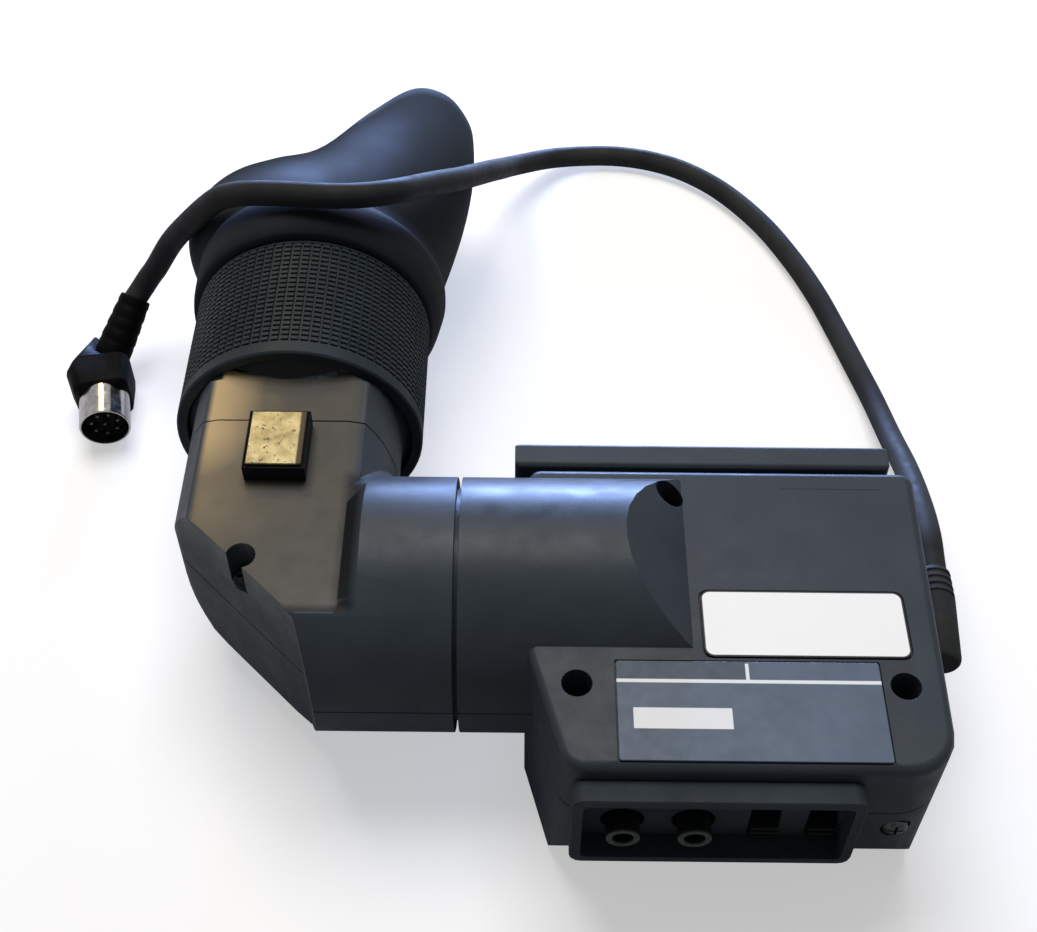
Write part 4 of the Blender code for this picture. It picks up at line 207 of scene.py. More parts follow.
def light_studio():
    """A pale table under a broad lamp that stands a little behind it, a cool window low behind the tube, and a warm
    lamp behind the elbow."""
    scene = bpy.context.scene
    scene.view_settings.view_transform = "Standard"
    world = bpy.data.worlds.new("studio_air")
    scene.world = world
    world.use_nodes = True
    tree = world.node_tree
    tree.nodes.clear()
    seen = add(tree, "Math", {"operation": "MULTIPLY_ADD"},
               {0: backdrop_rays(tree), 1: 1.0 - AIR_LEVEL, 2: AIR_LEVEL})
    air = add(tree, "Background", {}, {"Color": "#fbfcff", "Strength": seen})
    add(tree, "OutputWorld", {}, {"Surface": air})

    deselect()
    bpy.ops.mesh.primitive_plane_add(size=TABLE_SIZE, location=(0, 0, 0))
    table = bpy.context.object
    table.name = table.data.name = "table_top"
    table.data.materials.append(pale_laminate())

    for name, place, aim, size, energy, colour in LAMPS:
        lamp = bpy.data.lights.new(name, "AREA")
        lamp.shape = "RECTANGLE"
        lamp.size, lamp.size_y = size
        lamp.energy = energy
        lamp.color = srgb(colour)
        holder = bpy.data.objects.new(name, lamp)
        bpy.context.collection.objects.link(holder)
        aim_way = Vector(aim) - Vector(place)
        holder.matrix_world = Matrix.Translation(place) @ aim_way.to_track_quat("-Z", "Y").to_matrix().to_4x4()


# Materials


def srgb(code):
    """A hex colour as linear red, green and blue."""
    parts = [int(code[index:index + 2], 16) / 255 for index in (1, 3, 5)]
    return tuple(part / 12.92 if part <= 0.04045 else ((part + 0.055) / 1.055) ** 2.4 for part in parts)


def add(tree, kind, settings, inputs):
    """Adds a node with its settings and links. An input is a number, a hex colour, a node or a node's output."""
    made = tree.nodes.new("ShaderNode" + kind)
    for name, value in settings.items():
        setattr(made, name, value)
    for name, value in inputs.items():
        socket = made.inputs[name]
        if isinstance(value, bpy.types.Node):
            value = next(output for output in value.outputs if output.enabled)
        if isinstance(value, bpy.types.NodeSocket):
            tree.links.new(value, socket)
        elif isinstance(value, str):
            socket.default_value = (*srgb(value), 1.0)
        else:
            socket.default_value = value
    return made


def new_material(name):
    """An empty material, its node tree and the coordinates that its patterns lie on."""
    made = bpy.data.materials.new(name)
    made.use_nodes = True
    made.node_tree.nodes.clear()
    return made, made.node_tree, add(made.node_tree, "TexCoord", {}, {}).outputs["Object"]


def per_mm(size):
    """A noise scale whose features are about so many millimetres across."""
    return 1000.0 / size


def backdrop_rays(tree):
    """The share of the backdrop that a ray sees: all for the camera's and for those that glass sends on, and less
    for mirrored ones, which in the photograph's room meet darker walls."""
    rays = add(tree, "LightPath", {}, {}).outputs
    mirrored = add(tree, "Math", {"operation": "MULTIPLY"}, {0: rays["Is Glossy Ray"], 1: MIRRORED_SHARE})
    shown = add(tree, "Math", {"operation": "MAXIMUM"}, {0: rays["Is Camera Ray"], 1: mirrored})
    return add(tree, "Math", {"operation": "MAXIMUM"}, {0: shown, 1: rays["Is Transmission Ray"]})


def pale_laminate():
    """Pressed laminate of the table: matt, near white, with faint clouds. Its glow is only for the camera's rays."""
    made, tree, place = new_material("pale_laminate")
    cloud = add(tree, "TexNoise", {}, {"Vector": place, "Scale": per_mm(110), "Detail": 3.0})
    tone = add(tree, "Mix", RGBA, {SHARE: cloud, UNDER: "#c6c5c4", OVER: "#cccbca"})
    seen = add(tree, "LightPath", {}, {}).outputs["Is Camera Ray"]
    glow = add(tree, "Math", {"operation": "MULTIPLY"}, {0: seen, 1: TABLE_GLOW})
    surface = add(tree, "BsdfPrincipled", {}, {"Base Color": tone, "Roughness": 0.7, "Specular IOR Level": 0.2,
                                               "Emission Color": "#ffffff", "Emission Strength": glow})
    add(tree, "OutputMaterial", {}, {"Surface": surface})
    return made


def matt_sides(tree, place, sheen):
    """Adds to a sheen below the height that hands reach, where the mould's grain is still whole."""
    height = add(tree, "SeparateXYZ", {}, {"Vector": place}).outputs["Z"]
    whole = add(tree, "MapRange", {}, {"Value": height, **GRAIN_WORN, "To Min": 0.2, "To Max": 0.0})
    return add(tree, "Math", {"operation": "ADD"}, {0: sheen, 1: whole})


def moulded_plastic(name, dark, light, roughness, gloss, grain_mm=0.35, marks=()):
    """Injection-moulded plastic from a spark-eroded mould: a fine grain that breaks the sheen, faint flow clouds
    in the tone, patches that handling has rubbed smoother, and duller sides."""
    made, tree, place = new_material(name)
    flow = add(tree, "TexNoise", {}, {"Vector": place, "Scale": per_mm(18), "Detail": 5.0, "Roughness": 0.6})
    tone = add(tree, "MapRange", {}, {"Value": flow, **TONE_SPAN})
    colour = marked(tree, place, add(tree, "Mix", RGBA, {SHARE: tone, UNDER: dark, OVER: light}), marks)
    handling = add(tree, "TexNoise", {}, {"Vector": place, "Scale": per_mm(6), "Detail": 4.0, "Roughness": 0.65})
    sheen = add(tree, "MapRange", {}, {"Value": handling, **SHEEN_SPAN,
                                       "To Min": roughness - 0.06, "To Max": roughness + 0.08})
    grain = add(tree, "TexNoise", {}, {"Vector": place, "Scale": per_mm(grain_mm), "Detail": 2.0})
    relief = add(tree, "Bump", {}, {"Height": grain, "Strength": 0.35, "Distance": 0.00006})
    surface = add(tree, "BsdfPrincipled", {}, {"Base Color": colour, "Roughness": matt_sides(tree, place, sheen),
                                               "Normal": relief, "Specular IOR Level": gloss})
    add(tree, "OutputMaterial", {}, {"Surface": surface})
    return made


def knob_abs():
    """Moulded ABS of the knob sleeves: matt black sides, and an end face that fingertips have rubbed paler."""
    made, tree, place = new_material("rubbed_knob_abs")
    wear = add(tree, "TexNoise", {}, {"Vector": place, "Scale": per_mm(1.2), "Detail": 4.0})
    tone = add(tree, "MapRange", {}, {"Value": wear, **TONE_SPAN})
    side = add(tree, "Mix", RGBA, {SHARE: tone, UNDER: "#0b0d0e", OVER: "#121516"})
    wear_and_painted_light = add(tree, "Mix", RGBA, {SHARE: tone, UNDER: "#3b4340", OVER: "#4d5653"})
    depth = add(tree, "SeparateXYZ", {}, {"Vector": place}).outputs["Y"]
    end = add(tree, "MapRange", {}, {"Value": depth, **KNOB_RUBBED, "To Min": 1.0, "To Max": 0.0})
    colour = add(tree, "Mix", RGBA, {SHARE: end, UNDER: side, OVER: wear_and_painted_light})
    relief = add(tree, "Bump", {}, {"Height": wear, "Strength": 0.2, "Distance": 0.00005})
    surface = add(tree, "BsdfPrincipled", {}, {"Base Color": colour, "Roughness": 0.5, "Normal": relief,
                                               "Specular IOR Level": 0.14})
    add(tree, "OutputMaterial", {}, {"Surface": surface})
    return made


def moulded_rubber():
    """Compression-moulded rubber of the eyecup: soft and dull, with a dry bloom in patches and a 0.5 mm grain."""
    made, tree, place = new_material("moulded_rubber")
    bloom = add(tree, "TexNoise", {}, {"Vector": place, "Scale": per_mm(22), "Detail": 5.0, "Roughness": 0.6})
    tone = add(tree, "MapRange", {}, {"Value": bloom, **TONE_SPAN})
    colour = add(tree, "Mix", RGBA, {SHARE: tone, UNDER: "#222527", OVER: "#2b2e30"})
    sheen = add(tree, "MapRange", {}, {"Value": bloom, **SHEEN_SPAN, "To Min": 0.56, "To Max": 0.74})
    grain = add(tree, "TexNoise", {}, {"Vector": place, "Scale": per_mm(0.5), "Detail": 3.0})
    relief = add(tree, "Bump", {}, {"Height": grain, "Strength": 0.4, "Distance": 0.00008})
    surface = add(tree, "BsdfPrincipled", {}, {"Base Color": colour, "Roughness": sheen, "Normal": relief,
                                               "Specular IOR Level": 0.05})
    add(tree, "OutputMaterial", {}, {"Surface": surface})
    return made


def extruded_pvc(name, dark, light):
    """Soft PVC, extruded on the cable and moulded on its boot and plug: black, half matt, with a greyish haze."""
    made, tree, place = new_material(name)
    haze = add(tree, "TexNoise", {}, {"Vector": place, "Scale": per_mm(14), "Detail": 4.0})
    tone = add(tree, "MapRange", {}, {"Value": haze, **TONE_SPAN})
    colour = add(tree, "Mix", RGBA, {SHARE: tone, UNDER: dark, OVER: light})
    wear_and_painted_light = add(tree, "TexNoise", {}, {"Vector": place, "Scale": per_mm(3.3), "Detail": 3.0})
    sheen = add(tree, "MapRange", {}, {"Value": wear_and_painted_light, **SHEEN_SPAN, "To Min": 0.5, "To Max": 0.66})
    grain = add(tree, "TexNoise", {}, {"Vector": place, "Scale": per_mm(0.6), "Detail": 2.0})
    relief = add(tree, "Bump", {}, {"Height": grain, "Strength": 0.25, "Distance": 0.00005})
    surface = add(tree, "BsdfPrincipled", {}, {"Base Color": colour, "Roughness": sheen, "Normal": relief,
                                               "Specular IOR Level": 0.05})
    add(tree, "OutputMaterial", {}, {"Surface": surface})
    return made


def worn_brass():
    """Pressed brass that a thumb has worn: pale polished metal, tarnished clouds, black pits about 0.7 mm across,
    and a painted dark reflection in a strip along its rounded right side."""
    made, tree, place = new_material("worn_brass")
    rough = add(tree, "TexNoise", {}, {"Vector": place, "Scale": per_mm(1.1), "Detail": 6.0, "Roughness": 0.7})
    pits = add(tree, "MapRange", {}, {"Value": rough, "From Min": 0.60, "From Max": 0.66})
    tarnish = add(tree, "TexNoise", {}, {"Vector": place, "Scale": per_mm(3.8), "Detail": 4.0, "Roughness": 0.6})
    cloud = add(tree, "MapRange", {}, {"Value": tarnish, **TONE_SPAN})
    clean = add(tree, "Mix", RGBA, {SHARE: cloud, UNDER: "#665f46", OVER: "#868064"})
    # Painted dark reflection in a strip along the plate's rounded right side, joined with the pits
    across = add(tree, "SeparateXYZ", {}, {"Vector": place}).outputs["X"]
    painted_reflection = add(tree, "MapRange", {}, {"Value": across, **BRASS_PAINTED_REFLECTION})
    pits_and_painted_reflection = add(tree, "Math", {"operation": "MAXIMUM"}, {0: pits, 1: painted_reflection})
    colour = add(tree, "Mix", RGBA, {SHARE: pits_and_painted_reflection, UNDER: clean, OVER: "#453e30"})
    sheen = add(tree, "MapRange", {}, {"Value": pits_and_painted_reflection, "To Min": 0.36, "To Max": 0.6})
    relief = add(tree, "Bump", {"invert": True}, {"Height": pits, "Strength": 0.5, "Distance": 0.0001})
    surface = add(tree, "BsdfPrincipled", {}, {"Base Color": colour, "Roughness": sheen, "Metallic": 1.0,
                                               "Normal": relief})
    add(tree, "OutputMaterial", {}, {"Surface": surface})
    return made


def plated_metal(name, dark, light, roughness, streak=(1.0, 1.0, 1.0)):
    """Bare or plated metal: drawn or turned, so its polish is uneven in lines or patches about 2 mm wide."""
    made, tree, place = new_material(name)
    along = add(tree, "Mapping", {}, {"Vector": place, "Scale": streak})
    polish = add(tree, "TexNoise", {}, {"Vector": along, "Scale": per_mm(2), "Detail": 4.0, "Roughness": 0.6})
    tone = add(tree, "MapRange", {}, {"Value": polish, **TONE_SPAN})
    colour = add(tree, "Mix", RGBA, {SHARE: tone, UNDER: dark, OVER: light})
    sheen = add(tree, "MapRange", {}, {"Value": polish, "From Min": 0.3, "From Max": 0.7,
                                       "To Min": roughness * 0.75, "To Max": roughness * 1.35})
    surface = add(tree, "BsdfPrincipled", {}, {"Base Color": colour, "Roughness": sheen, "Metallic": 1.0})
    add(tree, "OutputMaterial", {}, {"Surface": surface})
    return made


def inside(tree, place, left, right, near, far, corner, soft, share=1.0):
    """A share inside a rectangle with round corners, given in millimetres of the object, and zero outside it."""
    middle = ((left + right) / 2000, (near + far) / 2000, 0.0)
    inset = ((right - left) / 2000 - corner / 1000, (far - near) / 2000 - corner / 1000, 9.0)
    away = add(tree, "VectorMath", {"operation": "SUBTRACT"}, {0: place, 1: middle})
    away = add(tree, "VectorMath", {"operation": "ABSOLUTE"}, {0: away})
    away = add(tree, "VectorMath", {"operation": "SUBTRACT"}, {0: away, 1: inset})
    away = add(tree, "VectorMath", {"operation": "MAXIMUM"}, {0: away, 1: (0.0, 0.0, 0.0)})
    away = add(tree, "VectorMath", {"operation": "LENGTH"}, {0: away}).outputs["Value"]
    return add(tree, "MapRange", {}, {"Value": away, "From Min": (corner - soft) / 1000,
                                      "From Max": (corner + soft) / 1000, "To Min": share, "To Max": 0.0})


def marked(tree, place, colour, marks):
    """Lays flat marks over a colour. Each is a shade and the rectangle that it fills."""
    for shade, *rectangle in marks:
        share = inside(tree, place, *rectangle)
        colour = add(tree, "Mix", RGBA, {SHARE: share, UNDER: colour, OVER: shade})
    return colour


def painted_light_abs():
    """The slate ABS of the elbow and neck: an olive brown over the flat, partly its own warm tint and partly painted
    warm sheen, a painted tan sheen in its left corner, painted shade in the cove beside the tube, painted highlights
    along two edges, and painted black shade behind the flat's curved back edge, where the neck goes under the
    focus ring."""
    made, tree, place = new_material("slate_abs_with_painted_light")
    spot = add(tree, "SeparateXYZ", {}, {"Vector": place}).outputs
    flow = add(tree, "TexNoise", {}, {"Vector": place, "Scale": per_mm(18), "Detail": 5.0, "Roughness": 0.6})
    tone = add(tree, "MapRange", {}, {"Value": flow, **TONE_SPAN})
    slate = add(tree, "Mix", RGBA, {SHARE: tone, UNDER: "#333a40", OVER: "#3a4148"})
    # Over the flat, an olive that is partly the plastic's own warm tint and partly painted warm sheen, under painted
    # sheen and highlight marks
    warm_tint_and_painted_sheen = add(tree, "Mix", RGBA, {SHARE: tone, UNDER: "#42413d", OVER: "#4b4943"})
    wear_and_painted_light = marked(tree, place, warm_tint_and_painted_sheen, PAINTED_SHEEN_AND_HIGHLIGHT_MARKS)
    above = add(tree, "MapRange", {}, {"Value": spot["Z"], **FLAT_FROM})
    below = add(tree, "MapRange", {}, {"Value": spot["Z"], **FLAT_TO, "To Min": 1.0, "To Max": 0.0})
    level = add(tree, "Math", {"operation": "MULTIPLY"}, {0: above, 1: below})
    top = add(tree, "Math", {"operation": "MULTIPLY"}, {0: level, 1: inside(tree, place, *FLAT_AREA)})
    colour = add(tree, "Mix", RGBA, {SHARE: top, UNDER: slate, OVER: wear_and_painted_light})
    # Painted shade in the cove beside the tube
    colour = marked(tree, place, colour, PAINTED_COVE_SHADE_MARKS)
    # Painted shade: black behind the flat's curved back edge, in the recess where the neck goes under the focus ring
    aside = add(tree, "Math", {"operation": "MULTIPLY_ADD"},
                {0: spot["X"], 1: 1 / NECK_HALF_WIDTH, 2: -NECK_MIDDLE / NECK_HALF_WIDTH})
    bowed = add(tree, "Math", {"operation": "MULTIPLY"}, {0: aside, 1: aside})
    bowed = add(tree, "Math", {"operation": "MINIMUM"}, {0: bowed, 1: NECK_BOW_LIMIT})
    behind = add(tree, "Math", {"operation": "MULTIPLY_ADD"}, {0: bowed, 1: -NECK_BOW, 2: spot["Y"]})
    painted_recess_shade = add(tree, "MapRange", {}, {"Value": behind, **NECK_EDGE})
    colour = add(tree, "Mix", RGBA, {SHARE: painted_recess_shade, UNDER: colour, OVER: "#0a0b0d"})
    handling = add(tree, "TexNoise", {}, {"Vector": place, "Scale": per_mm(6), "Detail": 4.0, "Roughness": 0.65})
    sheen = add(tree, "MapRange", {}, {"Value": handling, **SHEEN_SPAN, "To Min": 0.34, "To Max": 0.48})
    grain = add(tree, "TexNoise", {}, {"Vector": place, "Scale": per_mm(0.35), "Detail": 2.0})
    relief = add(tree, "Bump", {}, {"Height": grain, "Strength": 0.35, "Distance": 0.00006})
    surface = add(tree, "BsdfPrincipled", {}, {"Base Color": colour, "Roughness": matt_sides(tree, place, sheen),
                                               "Normal": relief, "Specular IOR Level": 0.16})
    add(tree, "OutputMaterial", {}, {"Surface": surface})
    return made


def printed_film(name, dark, light, marks, roughness):
    """Screen-printed film, laid flat: a plain coat with faint mottling and flat marks, under a satin varnish."""
    made, tree, place = new_material(name)
    mottle = add(tree, "TexNoise", {}, {"Vector": place, "Scale": per_mm(9), "Detail": 4.0})
    tone = add(tree, "MapRange", {}, {"Value": mottle, **TONE_SPAN})
    coat = add(tree, "Mix", RGBA, {SHARE: tone, UNDER: dark, OVER: light})
    colour = marked(tree, place, coat, marks)
    varnish = add(tree, "TexNoise", {}, {"Vector": place, "Scale": per_mm(3), "Detail": 3.0})
    sheen = add(tree, "MapRange", {}, {"Value": varnish, **SHEEN_SPAN,
                                       "To Min": roughness - 0.05, "To Max": roughness + 0.07})
    surface = add(tree, "BsdfPrincipled", {}, {"Base Color": colour, "Roughness": sheen, "Specular IOR Level": 0.2})
    add(tree, "OutputMaterial", {}, {"Surface": surface})
    return made


def clear_glass(name, tint, clearness):
    """Ground and polished crown glass, or the moulded glass of the tube: smooth, with a faint drift in its tint."""
    made, tree, place = new_material(name)
    drift = add(tree, "TexNoise", {}, {"Vector": place, "Scale": per_mm(30), "Detail": 2.0})
    colour = add(tree, "Mix", RGBA, {SHARE: drift, UNDER: tint, OVER: "#d5e0e4"})
    surface = add(tree, "BsdfPrincipled", {}, {"Base Color": colour, "Roughness": 0.03, "IOR": 1.52,
                                               "Transmission Weight": clearness})
    add(tree, "OutputMaterial", {}, {"Surface": surface})
    return made


def finishes():
    """Every finish by the slot that it fills, or by the name that scene pieces ask for."""
    return {
        "shell": moulded_plastic("slate_moulded_abs", "#30363c", "#363d43", 0.38, 0.16, marks=SHELL_MARKS),
        "slate_painted_light": painted_light_abs(),
        "panel": moulded_plastic("dark_moulded_abs", "#2c3237", "#343b41", 0.48, 0.1),
        "grip": moulded_plastic("grey_black_moulded_abs", "#262c2f", "#2d3336", 0.46, 0.12),
        "black": moulded_plastic("black_moulded_acetal", "#0d0f10", "#141617", 0.46, 0.1),
        "screw": plated_metal("zinc_plated_steel", "#3c3f3e", "#5e6260", 0.4),
        "rubber": moulded_rubber(),
        "cable": extruded_pvc("extruded_pvc", "#2a2b2c", "#353636"),
        "cap": extruded_pvc("moulded_pvc", "#060707", "#0b0c0c"),
        "brass": worn_brass(),
        "chrome": plated_metal("chrome_plated_steel", "#b9b6b2", "#dbd8d4", 0.16),
        "steel": plated_metal("blackened_steel", "#3a3b3b", "#5a5b5a", 0.42, (1.0, 1.0, 0.1)),
        "bright": plated_metal("drawn_steel", "#9a9a98", "#bdbdbb", 0.34, (1.0, 0.1, 1.0)),
        "glass": clear_glass("polished_crown_glass", "#e3ecf0", 0.95),
        "phosphor": clear_glass("picture_tube_glass", "#aab8b2", 0.15),
        "mirror": plated_metal("silvered_mirror", "#d6d9da", "#dfe2e3", 0.08),
        "board": moulded_plastic("glass_epoxy_laminate", "#1d4a2a", "#25592f", 0.42, 0.5, 1.1),
        "copper": plated_metal("enamelled_copper_winding", "#6a3519", "#8b4a22", 0.36, (0.1, 1.0, 1.0)),
        "white": printed_film("vinyl_sticker", "#15171a", "#191b1e", STICKER_MARKS, 0.42),
        "blue": printed_film("printed_plate_film", "#525f6f", "#596677", PLATE_MARKS, 0.44),
        "knob": knob_abs(),
        "pin": plated_metal("nickel_plated_contact", "#4b4a47", "#6a6864", 0.4),
    }


def dress_nodes(look):
    """Gives every node of the frame its finish."""
    slots = {entry["node"]: entry["material_slot"] for entry in frame["record"]["subparts"]}
    for name, node in NODES.items():
        node.data.materials.clear()
        node.data.materials.append(look[slots[name]])


# Building blocks


def deselect():
    bpy.ops.object.select_all(action="DESELECT")


def begin(name):
    """A new mesh in edit mode that holds one point at the origin."""
    deselect()
    bpy.ops.mesh.primitive_plane_add(size=0.001, location=(0, 0, 0))
    made = bpy.context.object
    made.name = made.data.name = name
    bpy.ops.object.mode_set(mode="EDIT")
    bpy.ops.mesh.select_all(action="SELECT")
    bpy.ops.mesh.merge(type="CENTER")
    return made


def close_up(made, finish, angle):
    """Leaves edit mode with doubles merged, faces outwards, and smooth shading up to the angle."""
    bpy.ops.mesh.select_all(action="SELECT")
    bpy.ops.mesh.remove_doubles(threshold=0.0000005)
    bpy.ops.mesh.normals_make_consistent(inside=False)
    bpy.ops.object.mode_set(mode="OBJECT")
    bpy.ops.object.shade_smooth_by_angle(angle=math.radians(angle))
    made.data.materials.append(finish)
    return made


def spun(name, profile, start, way, finish, steps=64, angle=35):
    """A turned piece. One point is extruded along (place along the way, radius), then spun round it."""
    start, way = Vector(start), Vector(way).normalized()
    side = way.cross(Vector((0, 0, 1))).normalized() if abs(way.z) < 0.99 else Vector((1, 0, 0))
    points = [start + way * along + side * radius for along, radius in profile]
    made = begin(name)
    bpy.ops.transform.translate(value=points[0])
    for before, after in zip(points, points[1:]):
        bpy.ops.mesh.extrude_region_move(TRANSFORM_OT_translate={"value": after - before})
    bpy.ops.mesh.select_all(action="SELECT")
    bpy.ops.mesh.spin(steps=steps, angle=2 * math.pi, center=start, axis=way)
    return close_up(made, finish, angle)


def box(name, low, high, finish, round_off=0.0, segments=3):
    """A box between two corners, with rounded edges."""
    deselect()
    low, high = Vector(low), Vector(high)
    bpy.ops.mesh.primitive_cube_add(size=1, location=(low + high) / 2, scale=high - low)
    made = bpy.context.object
    made.name = made.data.name = name
    bpy.ops.object.transform_apply(location=True, rotation=True, scale=True)
    bpy.ops.object.mode_set(mode="EDIT")
    bpy.ops.mesh.select_all(action="SELECT")
    if round_off:
        bpy.ops.mesh.bevel(offset=round_off, segments=segments, affect="EDGES")
    return close_up(made, finish, 35)


def apply_all(made):
    """Applies a piece's modifiers in order."""
    deselect()
    made.select_set(True)
    bpy.context.view_layer.objects.active = made
    for modifier in list(made.modifiers):
        bpy.ops.object.modifier_apply(modifier=modifier.name)


def combine(made, tool, operation):
    """Cuts a tool out of a piece, or joins it on, and removes the tool."""
    change = made.modifiers.new(operation.lower(), "BOOLEAN")
    change.object = tool
    change.operation = operation
    change.solver = "EXACT"
    apply_all(made)
    bpy.data.objects.remove(tool)
    bpy.ops.object.shade_smooth_by_angle(angle=math.radians(35))
    return made


def refined(node_name, piece_name, finish, width, segments=2, angle=38):
    """A merged copy of a node with flat faces whole again, its edges rounded and its shading weighted."""
    made = bpy.data.objects.new(piece_name, NODES[node_name].data.copy())
    made.data.name = piece_name
    bpy.context.collection.objects.link(made)
    deselect()
    made.select_set(True)
    bpy.context.view_layer.objects.active = made
    bpy.ops.mesh.customdata_custom_splitnormals_clear()
    bpy.ops.object.mode_set(mode="EDIT")
    bpy.ops.mesh.select_all(action="SELECT")
    bpy.ops.mesh.remove_doubles(threshold=0.000003)
    bpy.ops.mesh.dissolve_limited(angle_limit=math.radians(0.6))
    bpy.ops.object.mode_set(mode="OBJECT")
    bpy.ops.object.shade_smooth_by_angle(angle=math.radians(angle))
    made.data.materials.clear()
    made.data.materials.append(finish)
    if width:
        edge = made.modifiers.new("rounded_edge", "BEVEL")
        edge.width = width
        edge.segments = segments
        edge.limit_method = "ANGLE"
        edge.angle_limit = math.radians(angle)
        edge.use_clamp_overlap = True
    weigh = made.modifiers.new("weighted_shading", "WEIGHTED_NORMAL")
    weigh.keep_sharp = True
    weigh.weight = 50
    apply_all(made)
    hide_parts(node_name)
    return made


def skin(name, rings, finish, angle=40):
    """A closed skin over rings of points, whose last ring joins the first."""
    count = len(rings[0])
    faces = []
    for first in range(len(rings)):
        low, high = first * count, (first + 1) % len(rings) * count
        for step in range(count):
            after = (step + 1) % count
            faces.append((low + step, low + after, high + after, high + step))
    mesh = bpy.data.meshes.new(name)
    mesh.from_pydata([point for ring in rings for point in ring], [], faces)
    made = bpy.data.objects.new(name, mesh)
    bpy.context.collection.objects.link(made)
    deselect()
    made.select_set(True)
    bpy.context.view_layer.objects.active = made
    bpy.ops.object.mode_set(mode="EDIT")
    return close_up(made, finish, angle)


def smooth_between(before, start, end, after, t):
    """A value or place between two of four evenly spaced ones, on the smooth curve through them all."""
    return 0.5 * (2 * start + (end - before) * t + (2 * before - 5 * start + 4 * end - after) * t**2
                  + (3 * start - before - 3 * end + after) * t**3)


def spline_points(points, count):
    """Evenly spaced points on a smooth curve through the given ones."""
    places = [Vector(point) for point in points]
    places = [2 * places[0] - places[1], *places, 2 * places[-1] - places[-2]]
    fine = []
    for index in range(1, len(places) - 2):
        before, start, end, after = places[index - 1:index + 3]
        for step in range(24):
            fine.append(smooth_between(before, start, end, after, step / 24))
    fine.append(places[-2])
    lengths = [0.0]
    for first, second in zip(fine, fine[1:]):
        lengths.append(lengths[-1] + (second - first).length)
    route, index = [], 0
    for step in range(count + 1):
        wanted = lengths[-1] * step / count
        while index < len(fine) - 2 and lengths[index + 1] < wanted:
            index += 1
        part = (wanted - lengths[index]) / (lengths[index + 1] - lengths[index])
        route.append(fine[index].lerp(fine[index + 1], part))
    return route, lengths[-1]


# Cable, strain relief and plug


def cable(look):
    """The cable, swept along its route, and its length."""
    route, length = spline_points(CORD_ROUTE, 300)
    curve = bpy.data.curves.new("cable_lead", "CURVE")
    curve.dimensions = "3D"
    curve.bevel_depth = CORD_DIAMETER / 2
    curve.bevel_resolution = 7
    curve.use_fill_caps = True
    spline = curve.splines.new("POLY")
    spline.points.add(len(route) - 1)
    for point, place in zip(spline.points, route):
        point.co = (*place, 1.0)
    spline.use_smooth = True
    curve.materials.append(look["cable"])
    lead = bpy.data.objects.new("cable_lead", curve)
    bpy.context.collection.objects.link(lead)
    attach(lead, "housing")
    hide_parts("cable")
    return lead, length


def ribbed(length, wide, narrow, ribs, first, sink):
    """The profile of a moulded boot: a plain root, then rounded ribs that get thinner towards the tip."""
    profile = [(0.0, 0.0), (0.0, wide * 0.86), (length * 0.02, wide * 0.96), (length * 0.05, wide)]
    pitch = (1.0 - first) / ribs
    for rib in range(ribs):
        share = first + rib * pitch
        crest = wide + (narrow - wide) * (share - first) / (1.0 - first)
        profile += [(length * share, crest), (length * (share + pitch * 0.08), crest - sink * 0.7),
                    (length * (share + pitch * 0.16), crest - sink), (length * (share + pitch * 0.30), crest - sink),
                    (length * (share + pitch * 0.38), crest - sink * 0.7), (length * (share + pitch * 0.46), crest)]
    profile += [(length * 0.985, narrow), (length, narrow * 0.94), (length, 0.0)]
    return profile


def strain_relief(look):
    """The moulded relief on the right wall: a rounded foot against the wall and a ribbed tip round the cable."""
    along = RELIEF_TIP - RELIEF_ROOT
    profile = ribbed(along.length, wide=0.0043, narrow=0.0037, ribs=4, first=0.68, sink=0.0004)
    tip = spun("strain_relief_boot", profile, RELIEF_ROOT, along, look["cable"], steps=40)
    low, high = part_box("strain_relief")
    foot = box("relief_foot", (low[0], *RELIEF_FOOT_LOW), RELIEF_FOOT_HIGH, look["cable"], round_off=0.0009)
    combine(tip, foot, "UNION")
    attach(tip, "housing")
    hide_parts("strain_relief")
    return tip


def plug_grip(look):
    """The plug's body: widest near its shell on the left, straight on the right, and narrow where the boot leaves."""
    made = refined("plug_body", "plug_grip", look["cap"], 0.0009, segments=3, angle=32)
    across = Vector((PLUG_WAY.y, -PLUG_WAY.x, 0))
    deselect()
    made.select_set(True)
    bpy.context.view_layer.objects.active = made
    bpy.ops.object.mode_set(mode="EDIT")
    bpy.ops.mesh.select_all(action="SELECT")
    bpy.ops.mesh.bisect(plane_co=PLUG_FACE + PLUG_WAY * PLUG_WAIST, plane_no=PLUG_WAY)
    bpy.ops.object.mode_set(mode="OBJECT")
    for point in made.data.vertices:
        past_waist = (point.co - PLUG_FACE).dot(PLUG_WAY) - PLUG_WAIST
        aside = (point.co - PLUG_FACE).dot(across)
        end = "boot" if past_waist > 0 else "shell"
        share = past_waist / (PLUG_WAIST_TO_BOOT if past_waist > 0 else -PLUG_WAIST_TO_SHELL)
        widths = PLUG_LEFT_SHARES if aside < 0 else PLUG_RIGHT_SHARES
        wanted = widths["waist"] + (widths[end] - widths["waist"]) * share
        point.co += across * aside * (wanted - 1.0)
        if end == "shell":
            point.co.z = PLUG_FACE.z + (point.co.z - PLUG_FACE.z) * (1.0 - PLUG_HEIGHT_LOSS_SHARE * share)
    return made


